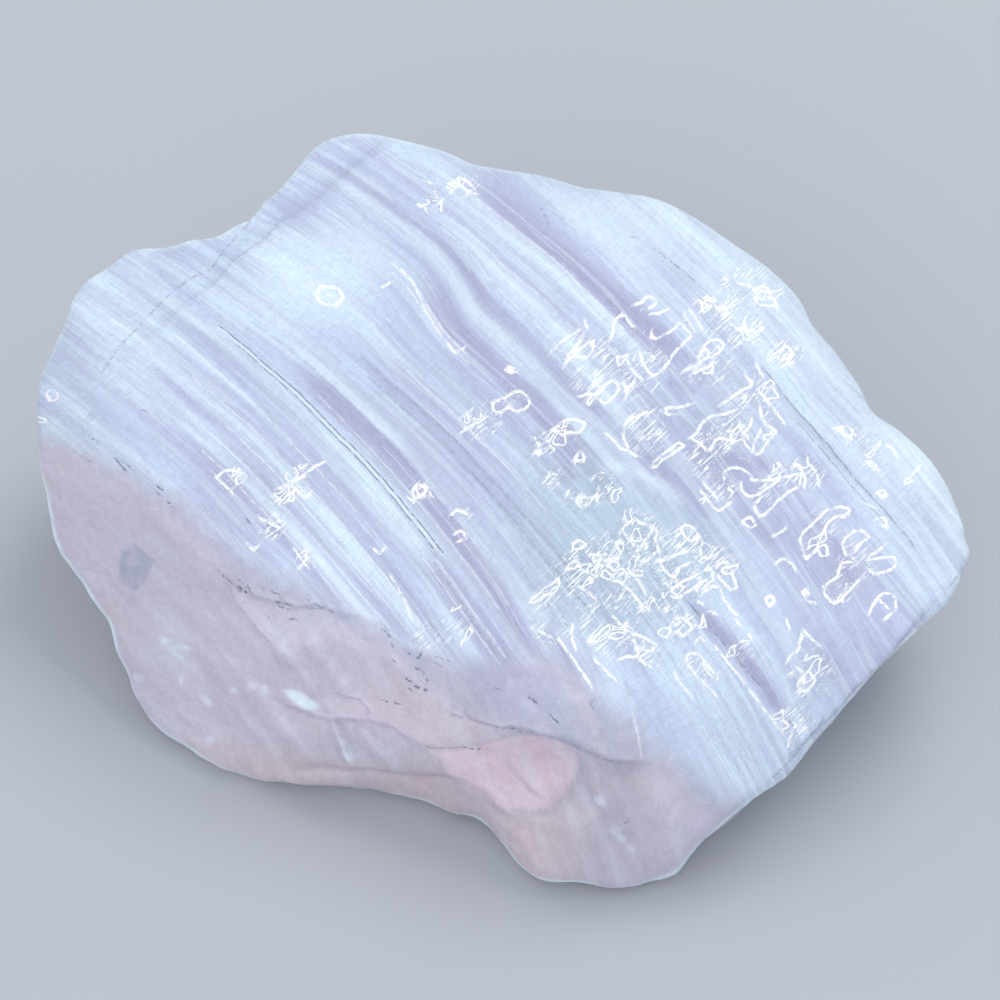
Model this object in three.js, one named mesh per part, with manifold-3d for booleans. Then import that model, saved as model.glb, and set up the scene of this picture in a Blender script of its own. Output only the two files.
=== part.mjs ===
// A raw calcite specimen: one broken chunk of banded pink and lavender calcite, 95 mm across, lying on a table.
// Its broad top is a fibrous banded break that leans towards the front. The other sides are smooth, shell-like
// breaks, and the underside is rough, with flat lands that the stone rests on.
// Millimetres, +Z up. +X is to the right and -Y to the front. The origin is on the table, under the middle.

import * as THREE from "three";
import { mergeVertices } from "three/addons/utils/BufferGeometryUtils.js";
import Module from "manifold-3d";

// Driving dimensions, in millimetres and degrees.
const VIEW_ELEVATION = 50; // the outline is taken from the front, looking down this steeply
const VIEW_DISTANCE = 300; // and from this far
const VIEW_CENTRE = new THREE.Vector3(0, -3.6, 22.7); // the outline's centre, on the banded top
const OUTLINE_TURN = 0.02; // radians of turn over which the outline's slant is taken
const OUTLINE_STEPS = 12; // steps of the smooth outline to each of its points
const ANGLES = 720; // angles that the outline is kept at
const MIDDLE = new THREE.Vector2(-0.31, 3.5); // the stone's middle, which the origin is moved to
const CORE_CENTRE = new THREE.Vector3(0, -1, 11); // the middle of the stone's bulk
const CORE_SIZE = new THREE.Vector3(22, 14, 1.5); // half sizes of the core that the surface is reached from
const BULK_SIZE = new THREE.Vector3(46, 36, 17); // half sizes of the stone's bulk round that core
const SURFACE_DETAIL = 21; // subdivisions of the starting sphere
const CROWDING = 0.22; // how far its vertices crowd towards the banded side
const EDGE_ROUND = 1.4; // how far the edges between the breaks are worn
const RIM_ROUND = 1.4; // and the edge all round the outline
const REACH = 80; // no part of the surface is further than this from the core
const STEP = 0.3; // least stride in looking for the surface
const STRIDE = 0.8; // and the share of the gap ahead that a longer stride takes
const HALVINGS = 14; // times that the last stride is halved
const SLOPE_REACH = 0.2; // distance to either side over which the surface's slope is taken
const BROAD_SWELL = 15; // from one broad swell of a break to the next
const FINE_SWELL = 6; // from one fine swell to the next
const FINE_SHARE = 0.4; // and how high it is beside a broad one
const LEDGE_ROUND = 1.2; // how far a ledge's edges are worn
const EDGE_PULL = 1.2; // no vertex is drawn further than this onto an edge
const FLATNESS = 0.12; // how firmly a vertex on a flat stays where it is
const HIGHEST_SWELL = 4; // no break stands out, or dips, by more than this many times its relief
const FINE_SEED = 50; // keeps the fine swells apart from the broad ones
const SLOPE_LEVELS = 1023; // levels, above the lowest, that the slope of a swell can have
const SWELL_SCALE = 1.4; // brings the swells to about -1 to 1
const BAND_SLOPE = 47; // degrees that the bands fall to the right, at the middle of the view
const BAND_BEND = 0.0036; // and how fast they steepen from there on
const BAND_SPACING = 6.8; // from one swell of the bands to the next
const BAND_SWELL = 0.22; // how high the strongest of them stand
const BANDS_DEEP = [-2.5, -0.3]; // the swells die out between these depths behind the banded break
const BAND_WAVER = { size: 1.5, along: 22, across: 5, seed: 90 }; // how the bands waver
const BAND_STRENGTH = { least: 0.5, size: 0.8, along: 30, across: 9, seed: 91 }; // and come and go

// The outline, seen square on from the viewing side: right and up from its centre.
const OUTLINE = [
  [-46.6, 8], [-46.5, 11], [-45, 14.5], [-43.4, 18], [-42.8, 20], [-41.4, 22], [-39, 23.6], [-37.4, 25],
  [-33.5, 25.3], [-31, 25.9], [-28, 26.5], [-26.2, 27.6], [-25, 28], [-23.8, 29.6], [-21.8, 31.4],
  [-18.4, 35.4], [-16.8, 36.2], [-14.8, 36.7], [-12.2, 36.6], [-9, 35.9], [-5, 34.7], [-3, 33.7], [0, 33.2],
  [4, 32.6], [8, 31.4], [13, 30.9], [16, 30.2], [20, 28], [24, 25.2], [27, 23.1], [30, 20.1], [31.4, 17.4],
  [33.6, 14.8], [36, 11.2], [37.2, 8.9], [40, 6.9], [43, 4], [45, 0.8], [46.4, -2.6], [46.6, -4],
  [47.1, -5], [46.2, -7.6], [45.2, -10], [42, -12.9], [38, -16.7], [34.6, -20.6], [31.2, -24.6], [29, -27.5],
  [26.6, -29.1], [25.2, -30.1], [22, -32.8], [19.6, -34.9], [17.4, -37.4], [14, -38.6], [11, -39.1],
  [8.6, -38.5], [4, -38], [2.2, -36.8], [0.4, -34.6], [-2.5, -32], [-5, -31.4], [-8, -29.9], [-11.5, -29.2],
  [-16, -28.5], [-20, -28.4], [-24, -28.1], [-28, -26.8], [-31, -25], [-34.2, -22.9], [-36.6, -19.6],
  [-37.6, -17], [-38.4, -15], [-39, -12.4], [-40.5, -10.4], [-42, -8.2], [-44, -5.2], [-45, -1.4],
  [-46, 2.8], [-46.5, 6],
];

// The breaks that bound the stone. Each looks towards an azimuth, counted from the front and rising to the
// right, and up at an elevation. It passes through a point, and swells and dips by its relief.
const BREAKS = [
  { name: "banded top", azimuth: 5, elevation: 75, through: [0, -3.6, 22.9], relief: 0.5 },
  { name: "far right roll", azimuth: 110, elevation: 80, through: [30, 14, 26.8], relief: 0.4 },
  { name: "front shoulder", azimuth: 15, elevation: 50, through: [16, -24.2, 17.3], relief: 0.5 },
  { name: "left roll", azimuth: -47, elevation: 50, through: [-34.4, -6.4, 21.7], relief: 0.5 },
  { name: "left wall", azimuth: -41, elevation: 26, through: [-31.2, -9.2, 20.2], relief: 0.7 },
  { name: "front wall", azimuth: -25, elevation: 27, through: [-26, -22.9, 0.5], relief: 0.6 },
  { name: "front bulge", azimuth: 5, elevation: 17, through: [12, -36.4, 0], relief: 0.6 },
  { name: "right undercut", azimuth: 55, elevation: -26, through: [37.5, -21.5, 15.1], relief: 0.7 },
  { name: "right end", azimuth: 95, elevation: -10, through: [47.7, -3, 18], relief: 0.7 },
  { name: "back right", azimuth: 125, elevation: -8, through: [36.6, 17.8, 20], relief: 0.9 },
  { name: "back corner", azimuth: 146, elevation: -4, through: [24.4, 32.3, 20], relief: 0.9 },
  { name: "back", azimuth: 168, elevation: -6, through: [-4, 39.2, 20], relief: 0.9 },
  { name: "back left", azimuth: -140, elevation: -3, through: [-36, 28.3, 20], relief: 0.9 },
  { name: "left end", azimuth: -100, elevation: -14, through: [-49.6, 6, 22], relief: 0.8 },
  { name: "left undercut", azimuth: -84, elevation: -40, through: [-40.6, -7.5, 4.2], relief: 0.8 },
  { name: "under the back", azimuth: 165, elevation: -40, through: [0, 35, 5], relief: 0.8 },
  { name: "under the right", azimuth: 88, elevation: -50, through: [38, 2, 4], relief: 0.8 },
  { name: "underside", azimuth: 0, elevation: -90, through: [0, 0, -0.25], relief: 1.5 },
];

// The shell-like hollows: ellipsoids that are scooped out of the stone.
const SCOOPS = [
  { name: "front hollow", centre: [-13, -45, 3], size: [18, 20, 26] },
  { name: "pink scoop", centre: [-0.2, -33.2, 13.8], size: [9.8, 5.9, 5.6] },
  { name: "wall hollow", centre: [-18.6, -28.7, 15.8], size: [12, 10.2, 9.4] },
];

// The ledge: beyond its riser, what stands above its floor is broken away.
const LEDGES = [
  {
    name: "upper left ledge",
    riser: { azimuth: -129, elevation: 35, through: [-41.1, 8.6, 27.1] },
    floor: { azimuth: 1, elevation: 81, through: [-41.1, 8.6, 26.8] },
  },
];

const radians = THREE.MathUtils.degToRad;
const clamp = THREE.MathUtils.clamp;
const smooth = THREE.MathUtils.smoothstep; // (value, low, high)

function directionOf(azimuth, elevation) {
  const level = Math.cos(radians(elevation));
  return new THREE.Vector3(
    level * Math.sin(radians(azimuth)),
    -level * Math.cos(radians(azimuth)),
    Math.sin(radians(elevation)),
  );
}

// The larger of two distances, with the corner between them rounded off.
function roundedMax(a, b, round) {
  const near = Math.max(round - Math.abs(a - b), 0) / round;
  return Math.max(a, b) + (near * near * round) / 4;
}

function latticeHash(x, y, z, seed) {
  let h = Math.imul(x, 374761393) ^ Math.imul(y, 668265263) ^ Math.imul(z, 1442695041) ^ Math.imul(seed, 974634777);
  h = Math.imul(h ^ (h >>> 13), 1274126177);
  return (h ^ (h >>> 16)) >>> 0;
}

// A slope from -1 to 1, out of the lowest bits of a hash.
const slopeIn = (bits) => (2 * (bits & SLOPE_LEVELS)) / SLOPE_LEVELS - 1;

// Gradient noise in space, from about -1 to 1, with one swell to each unit.
function noise(x, y, z, seed) {
  const cell = [Math.floor(x), Math.floor(y), Math.floor(z)];
  const at = [x - cell[0], y - cell[1], z - cell[2]];
  const ease = at.map((t) => t * t * t * (t * (t * 6 - 15) + 10));
  let sum = 0;
  for (let corner = 0; corner < 8; corner++) {
    const [i, j, k] = [corner & 1, (corner >> 1) & 1, corner >> 2];
    const h = latticeHash(cell[0] + i, cell[1] + j, cell[2] + k, seed);
    const slope =
      slopeIn(h) * (at[0] - i) +
      slopeIn(h >>> 10) * (at[1] - j) +
      slopeIn(h >>> 20) * (at[2] - k);
    const share = (i ? ease[0] : 1 - ease[0]) * (j ? ease[1] : 1 - ease[1]) * (k ? ease[2] : 1 - ease[2]);
    sum += slope * share;
  }
  return sum * SWELL_SCALE;
}

const towardsViewer = directionOf(0, VIEW_ELEVATION);
const viewUp = directionOf(180, 90 - VIEW_ELEVATION);

// A point's place in the view: right and up from the centre, as seen, and how much its nearness enlarges it.
function asSeen(p) {
  const from = p.clone().sub(VIEW_CENTRE);
  const near = from.dot(towardsViewer);
  const scale = VIEW_DISTANCE / (VIEW_DISTANCE - near);
  return { right: from.x * scale, up: from.dot(viewUp) * scale, scale };
}

// The outline as a radius at each angle, from a smooth curve through its points.
const outlineRadius = (() => {
  const curve = new THREE.CatmullRomCurve3(
    OUTLINE.map(([x, y]) => new THREE.Vector3(x, y, 0)),
    true,
    "centripetal",
  );
  const trace = curve.getPoints(OUTLINE.length * OUTLINE_STEPS).map((p) => ({
    angle: Math.atan2(p.y, p.x),
    radius: Math.hypot(p.x, p.y),
  }));
  trace.sort((a, b) => a.angle - b.angle);
  const first = { angle: trace[0].angle + 2 * Math.PI, radius: trace[0].radius };
  const radii = [];
  let at = 0;
  for (let i = 0; i <= ANGLES; i++) {
    const angle = -Math.PI + (2 * Math.PI * i) / ANGLES;
    while (at < trace.length - 1 && trace[at + 1].angle < angle) at++;
    const [a, b] = [trace[at], trace[at + 1] ?? first];
    const t = clamp((angle - a.angle) / Math.max(b.angle - a.angle, 1e-9), 0, 1);
    radii.push(a.radius + (b.radius - a.radius) * t);
  }
  return (angle) => {
    const x = ((angle + Math.PI) / (2 * Math.PI)) * ANGLES;
    const i = clamp(Math.floor(x), 0, ANGLES - 1);
    return radii[i] + (radii[i + 1] - radii[i]) * (x - i);
  };
})();

// How far outside the outline a point is seen, in millimetres at its own distance.
function outsideOutline(seen) {
  const angle = Math.atan2(seen.up, seen.right);
  const radius = outlineRadius(angle);
  const turned = clamp(angle + OUTLINE_TURN, -Math.PI, Math.PI);
  const slope = (outlineRadius(turned) - radius) / OUTLINE_TURN;
  const slant = radius / Math.hypot(radius, slope);
  return ((Math.hypot(seen.right, seen.up) - radius) * slant) / seen.scale;
}

const planeOf = ({ azimuth, elevation, through }) => ({
  looks: directionOf(azimuth, elevation),
  through: new THREE.Vector3(...through),
});
const beyondPlane = (p, { looks, through }) => p.clone().sub(through).dot(looks);
const breaks = BREAKS.map((face, index) => ({ ...planeOf(face), relief: face.relief, seed: index + 1 }));
const ledges = LEDGES.map(({ riser, floor }) => ({ riser: planeOf(riser), floor: planeOf(floor) }));

// A break's broad swells and dips, with fine ones on them.
function swellOf(p, seed) {
  const broad = p.clone().divideScalar(BROAD_SWELL);
  const fine = p.clone().divideScalar(FINE_SWELL);
  return noise(...broad, seed) + FINE_SHARE * noise(...fine, seed + FINE_SEED);
}

// The swells along the bands, which cross the banded break on curves that fall to the right.
function bandSwell(seen, depth) {
  const slope = radians(BAND_SLOPE);
  const along = seen.right * Math.cos(slope) - seen.up * Math.sin(slope);
  const across = seen.right * Math.sin(slope) + seen.up * Math.cos(slope) + BAND_BEND * along * along;
  const vary = (how) => how.size * noise(along / how.along, across / how.across, 0, how.seed);
  const swell = Math.sin((2 * Math.PI * (across + vary(BAND_WAVER))) / BAND_SPACING);
  const strength = BAND_STRENGTH.least + vary(BAND_STRENGTH);
  return BAND_SWELL * strength * swell * smooth(-depth, ...BANDS_DEEP);
}

function insideScoop(p, { centre, size }) {
  const [x, y, z] = [0, 1, 2].map((i) => (p.getComponent(i) - centre[i]) / size[i]);
  return (1 - Math.hypot(x, y, z)) * Math.min(...size);
}

// How far a point is outside the stone, about in millimetres: below 0 inside it.
function outsideStone(p) {
  const seen = asSeen(p);
  const flat = breaks.map((face) => beyondPlane(p, face));
  const furthest = Math.max(...flat);
  let out = -REACH;
  breaks.forEach(({ relief, seed }, i) => {
    if (flat[i] < furthest - HIGHEST_SWELL * relief - 2 * EDGE_ROUND) return;
    out = roundedMax(out, flat[i] - relief * swellOf(p, seed), EDGE_ROUND);
  });
  for (const { riser, floor } of ledges) {
    const gone = -roundedMax(-beyondPlane(p, riser), -beyondPlane(p, floor), LEDGE_ROUND);
    out = roundedMax(out, gone, LEDGE_ROUND);
  }
  for (const scoop of SCOOPS) out = roundedMax(out, insideScoop(p, scoop), EDGE_ROUND);
  out -= bandSwell(seen, furthest - flat[0]);
  return roundedMax(out, outsideOutline(seen), RIM_ROUND);
}

// The way that the surface looks at a point, from the distances on either side of it.
function lookOf(p) {
  const slope = [0, 1, 2].map((axis) => {
    const side = new THREE.Vector3().setComponent(axis, SLOPE_REACH);
    return outsideStone(p.clone().add(side)) - outsideStone(p.clone().sub(side));
  });
  return new THREE.Vector3(...slope).normalize();
}

// The surface point on the way out from the core through a point of the bulk, both given by a unit direction.
function surfacePoint(direction) {
  const start = direction.clone().multiply(CORE_SIZE).add(CORE_CENTRE);
  const way = direction.clone().multiply(BULK_SIZE).add(CORE_CENTRE).sub(start).normalize();
  let [inside, outside] = [0, 0];
  while (outside < REACH) {
    const gap = outsideStone(start.clone().addScaledVector(way, outside));
    if (gap > 0) break;
    inside = outside;
    outside += Math.max(STEP, -STRIDE * gap);
  }
  for (let i = 0; i < HALVINGS; i++) {
    const middle = (inside + outside) / 2;
    if (outsideStone(start.clone().addScaledVector(way, middle)) < 0) inside = middle;
    else outside = middle;
  }
  return start.addScaledVector(way, (inside + outside) / 2);
}

// A closed mesh with its shared vertices merged.
function welded(geometry) {
  geometry.deleteAttribute("normal");
  geometry.deleteAttribute("uv");
  return mergeVertices(geometry, 1e-4);
}

function stoneGeometry() {
  const ball = welded(new THREE.IcosahedronGeometry(1, SURFACE_DETAIL));
  const position = ball.getAttribute("position");
  const point = new THREE.Vector3();
  for (let i = 0; i < position.count; i++) {
    point.fromBufferAttribute(position, i).normalize().addScaledVector(towardsViewer, CROWDING).normalize();
    position.setXYZ(i, ...surfacePoint(point).toArray());
  }
  return ball;
}

// The vertices near an edge between two breaks are drawn onto it, to where the surfaces round them meet.
function drawnToEdges(ball) {
  const position = ball.getAttribute("position");
  const index = ball.index;
  const vertices = Array.from({ length: position.count }, (_, i) => new THREE.Vector3().fromBufferAttribute(position, i));
  const planes = vertices.map(() => []);
  for (let i = 0; i < index.count; i += 3) {
    const corners = [0, 1, 2].map((k) => index.getX(i + k));
    const middle = new THREE.Vector3();
    for (const corner of corners) middle.addScaledVector(vertices[corner], 1 / 3);
    const looks = lookOf(middle);
    middle.addScaledVector(looks, -outsideStone(middle));
    for (const corner of corners) planes[corner].push({ looks, through: middle });
  }
  vertices.forEach((vertex, i) => {
    const [sum, pull] = [[0, 0, 0, 0, 0, 0, 0, 0, 0], new THREE.Vector3()];
    for (const plane of planes[i]) {
      const { x, y, z } = plane.looks;
      [x * x, x * y, x * z, y * x, y * y, y * z, z * x, z * y, z * z].forEach((part, k) => (sum[k] += part));
      pull.addScaledVector(plane.looks, -beyondPlane(vertex, plane));
    }
    for (const k of [0, 4, 8]) sum[k] += FLATNESS * planes[i].length;
    pull.applyMatrix3(new THREE.Matrix3().set(...sum).invert()).clampLength(0, EDGE_PULL);
    position.setXYZ(i, ...vertex.add(pull).toArray());
  });
  return ball;
}

const wasm = await Module();
wasm.setup();

function solidOf(geometry) {
  return new wasm.Manifold(
    new wasm.Mesh({
      numProp: 3,
      vertProperties: geometry.getAttribute("position").array,
      triVerts: new Uint32Array(geometry.index.array),
    }),
  );
}

// The stone with what lies below the table cut off, which leaves the flat lands that it rests on.
function restingOnTable(geometry) {
  const below = new THREE.BoxGeometry(4 * REACH, 4 * REACH, REACH).translate(0, 0, -REACH / 2);
  const cut = solidOf(geometry).subtract(solidOf(welded(below))).getMesh();
  return new THREE.BufferGeometry()
    .setAttribute("position", new THREE.BufferAttribute(cut.vertProperties, 3))
    .setIndex(new THREE.BufferAttribute(cut.triVerts, 1));
}

const calcite = new THREE.MeshStandardMaterial({ color: 0xd3d6ea, roughness: 0.42, metalness: 0 });
const stone = new THREE.Mesh(restingOnTable(drawnToEdges(stoneGeometry())), calcite);
stone.name = "calcite";
stone.geometry.translate(-MIDDLE.x, -MIDDLE.y, 0);

const specimen = new THREE.Group();
specimen.add(stone);
export default specimen;
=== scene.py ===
import bmesh
import bpy
import numpy as np
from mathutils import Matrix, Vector


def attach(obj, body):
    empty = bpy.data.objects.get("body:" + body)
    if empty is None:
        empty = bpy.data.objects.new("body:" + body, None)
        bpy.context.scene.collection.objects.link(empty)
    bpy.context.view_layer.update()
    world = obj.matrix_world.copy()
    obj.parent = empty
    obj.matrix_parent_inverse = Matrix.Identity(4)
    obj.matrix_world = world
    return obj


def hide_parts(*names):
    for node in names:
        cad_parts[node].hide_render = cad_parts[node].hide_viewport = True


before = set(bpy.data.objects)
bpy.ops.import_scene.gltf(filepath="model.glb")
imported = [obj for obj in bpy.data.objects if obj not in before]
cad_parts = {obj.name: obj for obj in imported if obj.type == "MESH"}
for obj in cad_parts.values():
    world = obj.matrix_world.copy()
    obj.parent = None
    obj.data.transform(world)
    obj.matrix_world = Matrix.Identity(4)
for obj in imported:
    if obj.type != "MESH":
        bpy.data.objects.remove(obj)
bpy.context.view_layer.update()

MM = 0.001

# The view that the stone's outline and marks are placed in.
VIEW_ELEVATION = 50
VIEW_DISTANCE = 300
VIEW_CENTRE = np.array([0.0, -3.6, 22.7])
VIEW_WIDTH = 100  # millimetres across the picture, at the centre's distance

# The stone's form, as in the CAD.
MIDDLE = np.array([-0.31, 3.5, 0.0])  # the CAD's own origin is this far from the stone's middle
CORE_CENTRE = np.array([0.0, -1.0, 11.0])
CORE_SIZE = np.array([22.0, 14.0, 1.5])
BULK_SIZE = np.array([46.0, 36.0, 17.0])
CROWDING = 0.34
EDGE_ROUND = 1.4
RIM_ROUND = 1.4
LEDGE_ROUND = 0.7
REACH = 80
STEP = 0.3
STRIDE = 0.8
HALVINGS = 11  # of the last step, to find the surface in it
BROAD_SWELL = 15
FINE_SWELL = 6
FINE_SHARE = 0.4
FINE_SEED = 50
FACE_CUTS = 127  # cuts along each edge of the cube that the surface starts from
GRAZING = 0.12  # the marks placed in the view fade where the surface faces it less than this

OUTLINE = [
    (-46.6, 8), (-46.5, 11), (-45, 14.5), (-43.4, 18), (-42.8, 20), (-41.4, 22), (-39, 23.6), (-37.4, 25),
    (-33.5, 25.3), (-31, 25.9), (-28, 26.5), (-26.2, 27.6), (-25, 28), (-23.8, 29.6), (-21.8, 31.4),
    (-18.4, 35.4), (-16.8, 36.2), (-14.8, 36.7), (-12.2, 36.6), (-9, 35.9), (-5, 34.7), (-3, 33.7),
    (0, 33.2), (4, 32.6), (8, 31.4), (13, 30.9), (16, 30.2), (20, 28), (24, 25.2), (27, 23.1), (30, 20.1),
    (31.4, 17.4), (33.6, 14.8), (36, 11.2), (37.2, 8.9), (40, 6.9), (43, 4), (45, 0.8), (46.4, -2.6),
    (46.6, -4), (47.1, -5), (46.2, -7.6), (45.2, -10), (42, -12.9), (38, -16.7), (34.6, -20.6),
    (31.2, -24.6), (29, -27.5), (26.6, -29.1), (25.2, -30.1), (22, -32.8), (19.6, -34.9), (17.4, -37.4),
    (14, -38.6), (11, -39.1), (8.6, -38.5), (4, -38), (2.2, -36.8), (0.4, -34.6), (-2.5, -32),
    (-5, -31.4), (-8, -29.9), (-11.5, -29.2), (-16, -28.5), (-20, -28.4), (-24, -28.1), (-28, -26.8),
    (-31, -25), (-34.2, -22.9), (-36.6, -19.6), (-37.6, -17), (-38.4, -15), (-39, -12.4), (-40.5, -10.4),
    (-42, -8.2), (-44, -5.2), (-45, -1.4), (-46, 2.8), (-46.5, 6),
]

# Azimuth from the front and elevation that each break looks to, a point on it, and its relief.
BREAKS = [
    ("banded top", 5, 75, (0, -3.6, 22.9), 0.5),
    ("far right roll", 110, 80, (30, 14, 26.8), 0.4),
    ("front shoulder", 15, 50, (16, -24.2, 17.3), 0.5),
    ("left roll", -47, 50, (-34.4, -6.4, 21.7), 0.5),
    ("left wall", -41, 26, (-31.2, -9.2, 20.2), 0.7),
    ("front wall", -25, 27, (-26, -22.9, 0.5), 0.6),
    ("front bulge", 5, 17, (12, -36.4, 0), 0.6),
    ("right undercut", 55, -26, (37.5, -21.5, 15.1), 0.7),
    ("right end", 95, -10, (47.7, -3, 18), 0.7),
    ("back right", 125, -8, (36.6, 17.8, 20), 0.9),
    ("back corner", 146, -4, (24.4, 32.3, 20), 0.9),
    ("back", 168, -6, (-4, 39.2, 20), 0.9),
    ("back left", -140, -3, (-36, 28.3, 20), 0.9),
    ("left end", -100, -14, (-49.6, 6, 22), 0.8),
    ("left undercut", -84, -40, (-40.6, -7.5, 4.2), 0.8),
    ("under the back", 165, -40, (0, 35, 5), 0.8),
    ("under the right", 88, -50, (38, 2, 4), 0.8),
    ("underside", 0, -90, (0, 0, -0.25), 1.5),
]
# Centre and half sizes of the shell-like hollows.
SCOOPS = [
    ("front hollow", (-13, -45, 3), (18, 20, 26)),
    ("wall hollow", (-18.6, -28.7, 15.8), (12, 10.2, 9.4)),
    ("pink scoop", (-0.2, -33.2, 13.8), (9.8, 5.9, 5.6)),
]
# Beyond its riser, what stands above a ledge's floor is broken away. Each plane is an azimuth, an elevation
# and a point.
LEDGES = [((-129, 35, (-41.1, 8.6, 27.1)), (1, 81, (-41.1, 8.6, 26.8)))]

# The bands, in millimetres along and across them.
BAND_SLOPE = np.radians(47)
BAND_BEND = 0.0036
BAND_SPACING = 6.8
BAND_SWELL = 0.22
BAND_STRAY = 1.5


def direction_of(azimuth, elevation):
    a, e = np.radians(azimuth), np.radians(elevation)
    return np.array([np.cos(e) * np.sin(a), -np.cos(e) * np.cos(a), np.sin(e)])


TOWARDS_VIEWER = direction_of(0, VIEW_ELEVATION)
VIEW_UP = direction_of(180, 90 - VIEW_ELEVATION)


def smooth(value, low, high):
    t = np.clip((value - low) / (high - low), 0, 1)
    return t * t * (3 - 2 * t)


def rounded_max(a, b, width):
    near = np.maximum(width - np.abs(a - b), 0) / width
    return np.maximum(a, b) + near * near * width / 4


def lattice_hash(x, y, z, seed):
    u = np.uint32
    with np.errstate(over="ignore"):
        h = x.astype(u) * u(374761393) ^ y.astype(u) * u(668265263) ^ z.astype(u) * u(1442695041)
        h ^= u(seed * 974634777 & 0xFFFFFFFF)
        h = (h ^ (h >> u(13))) * u(1274126177)
    return h ^ (h >> u(16))


def noise(points, seed):
    """Gradient noise in space, from about -1 to 1, one swell to each unit. Each use has its own seed."""
    cell = np.floor(points).astype(np.int64)
    at = points - cell
    ease = at ** 3 * (at * (at * 6 - 15) + 10)
    total = np.zeros(len(points))
    for corner in range(8):
        step = (corner & 1, corner >> 1 & 1, corner >> 2)
        h = lattice_hash(*[(cell[:, k] + step[k]) & 0xFFFFFFFF for k in range(3)], seed)
        slope = np.zeros(len(points))
        share = np.ones(len(points))
        for k in range(3):
            slope += ((h >> 10 * k & 1023) / 511.5 - 1) * (at[:, k] - step[k])
            share *= ease[:, k] if step[k] else 1 - ease[:, k]
        total += slope * share
    return total * 1.4


def noise_at(a, b, seed):
    return noise(np.stack([a, b, np.zeros(len(a))], 1), seed)


def as_seen(points):
    """Right and up from the view's centre, and how much nearness enlarges each point."""
    off = points - VIEW_CENTRE
    scale = VIEW_DISTANCE / (VIEW_DISTANCE - off @ TOWARDS_VIEWER)
    return off[:, 0] * scale, off @ VIEW_UP * scale, scale


def curved(points, closed=False, cuts=4):
    """A smooth curve through the points, as a longer row of points."""
    points = np.array(points, float)
    count = len(points)
    trace = []
    for i in range(count if closed else count - 1):
        steps = (i - 1, i, i + 1, i + 2)
        p = [points[k % count] if closed else points[min(max(k, 0), count - 1)] for k in steps]
        gaps = [max(np.linalg.norm(p[k + 1] - p[k]) ** 0.5, 1e-4) for k in range(3)]
        a = (p[1] - p[0]) / gaps[0] - (p[2] - p[0]) / (gaps[0] + gaps[1]) + (p[2] - p[1]) / gaps[1]
        b = (p[2] - p[1]) / gaps[1] - (p[3] - p[1]) / (gaps[1] + gaps[2]) + (p[3] - p[2]) / gaps[2]
        a = a * gaps[1]
        b = b * gaps[1]
        for t in np.arange(cuts) / cuts:
            bend = (3 * p[2] - 3 * p[1] - 2 * a - b) * t * t + (2 * p[1] - 2 * p[2] + a + b) * t ** 3
            trace.append(p[1] + a * t + bend)
    trace.append(points[0] if closed else points[-1])
    return np.array(trace)


def outline_radii():
    """The outline as a radius at each angle."""
    trace = curved(OUTLINE, closed=True, cuts=12)[:-1]
    angle = np.arctan2(trace[:, 1], trace[:, 0])
    order = np.argsort(angle)
    angle, radius = angle[order], np.hypot(*trace.T)[order]
    angle = np.r_[angle[-1] - 2 * np.pi, angle, angle[0] + 2 * np.pi]
    radius = np.r_[radius[-1], radius, radius[0]]
    return np.interp(OUTLINE_ANGLES, angle, radius)


OUTLINE_ANGLES = np.linspace(-np.pi, np.pi, 721)
OUTLINE_TURN = 0.02  # radians between the two radii that give the outline's slope
OUTLINE_RADII = outline_radii()


def outside_outline(seen):
    right, up, scale = seen
    angle = np.arctan2(up, right)
    radius = np.interp(angle, OUTLINE_ANGLES, OUTLINE_RADII)
    turned = np.interp(np.clip(angle + OUTLINE_TURN, -np.pi, np.pi), OUTLINE_ANGLES, OUTLINE_RADII)
    slope = (turned - radius) / OUTLINE_TURN
    return (np.hypot(right, up) - radius) * radius / np.hypot(radius, slope) / scale


def beyond_plane(points, azimuth, elevation, through):
    return (points - np.array(through)) @ direction_of(azimuth, elevation)


def band_place(seen):
    """How far along the bands and across them a place in the view is, in millimetres."""
    right, up = seen[0], seen[1]
    along = right * np.cos(BAND_SLOPE) - up * np.sin(BAND_SLOPE)
    across = right * np.sin(BAND_SLOPE) + up * np.cos(BAND_SLOPE) + BAND_BEND * along * along
    return along, across


def outside_stone(points):
    seen = as_seen(points)
    flat = np.array([beyond_plane(points, az, el, at) for _, az, el, at, _ in BREAKS])
    furthest = flat.max(0)
    out = np.full(len(points), -float(REACH))
    for i, (_, _, _, _, relief) in enumerate(BREAKS):
        near = np.flatnonzero(flat[i] >= furthest - 4 * relief - 2 * EDGE_ROUND)
        some = points[near]
        swell = noise(some / BROAD_SWELL, i + 1) + FINE_SHARE * noise(some / FINE_SWELL, i + 1 + FINE_SEED)
        out[near] = rounded_max(out[near], flat[i][near] - relief * swell, EDGE_ROUND)
    for riser, floor in LEDGES:
        gone = -rounded_max(-beyond_plane(points, *riser), -beyond_plane(points, *floor), LEDGE_ROUND)
        out = rounded_max(out, gone, LEDGE_ROUND)
    for _, centre, size in SCOOPS:
        inside = (1 - np.linalg.norm((points - centre) / np.array(size, float), axis=1)) * min(size)
        out = rounded_max(out, inside, EDGE_ROUND)
    along, across = band_place(seen)
    strayed = across + BAND_STRAY * noise_at(along / 22, across / 5, 90)
    swell = np.sin(2 * np.pi * strayed / BAND_SPACING)
    strength = 0.5 + 0.8 * noise_at(along / 30, across / 9, 91)
    out -= BAND_SWELL * strength * swell * smooth(flat[0] - furthest, -2.5, -0.3)
    return rounded_max(out, outside_outline(seen), RIM_ROUND)


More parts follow.
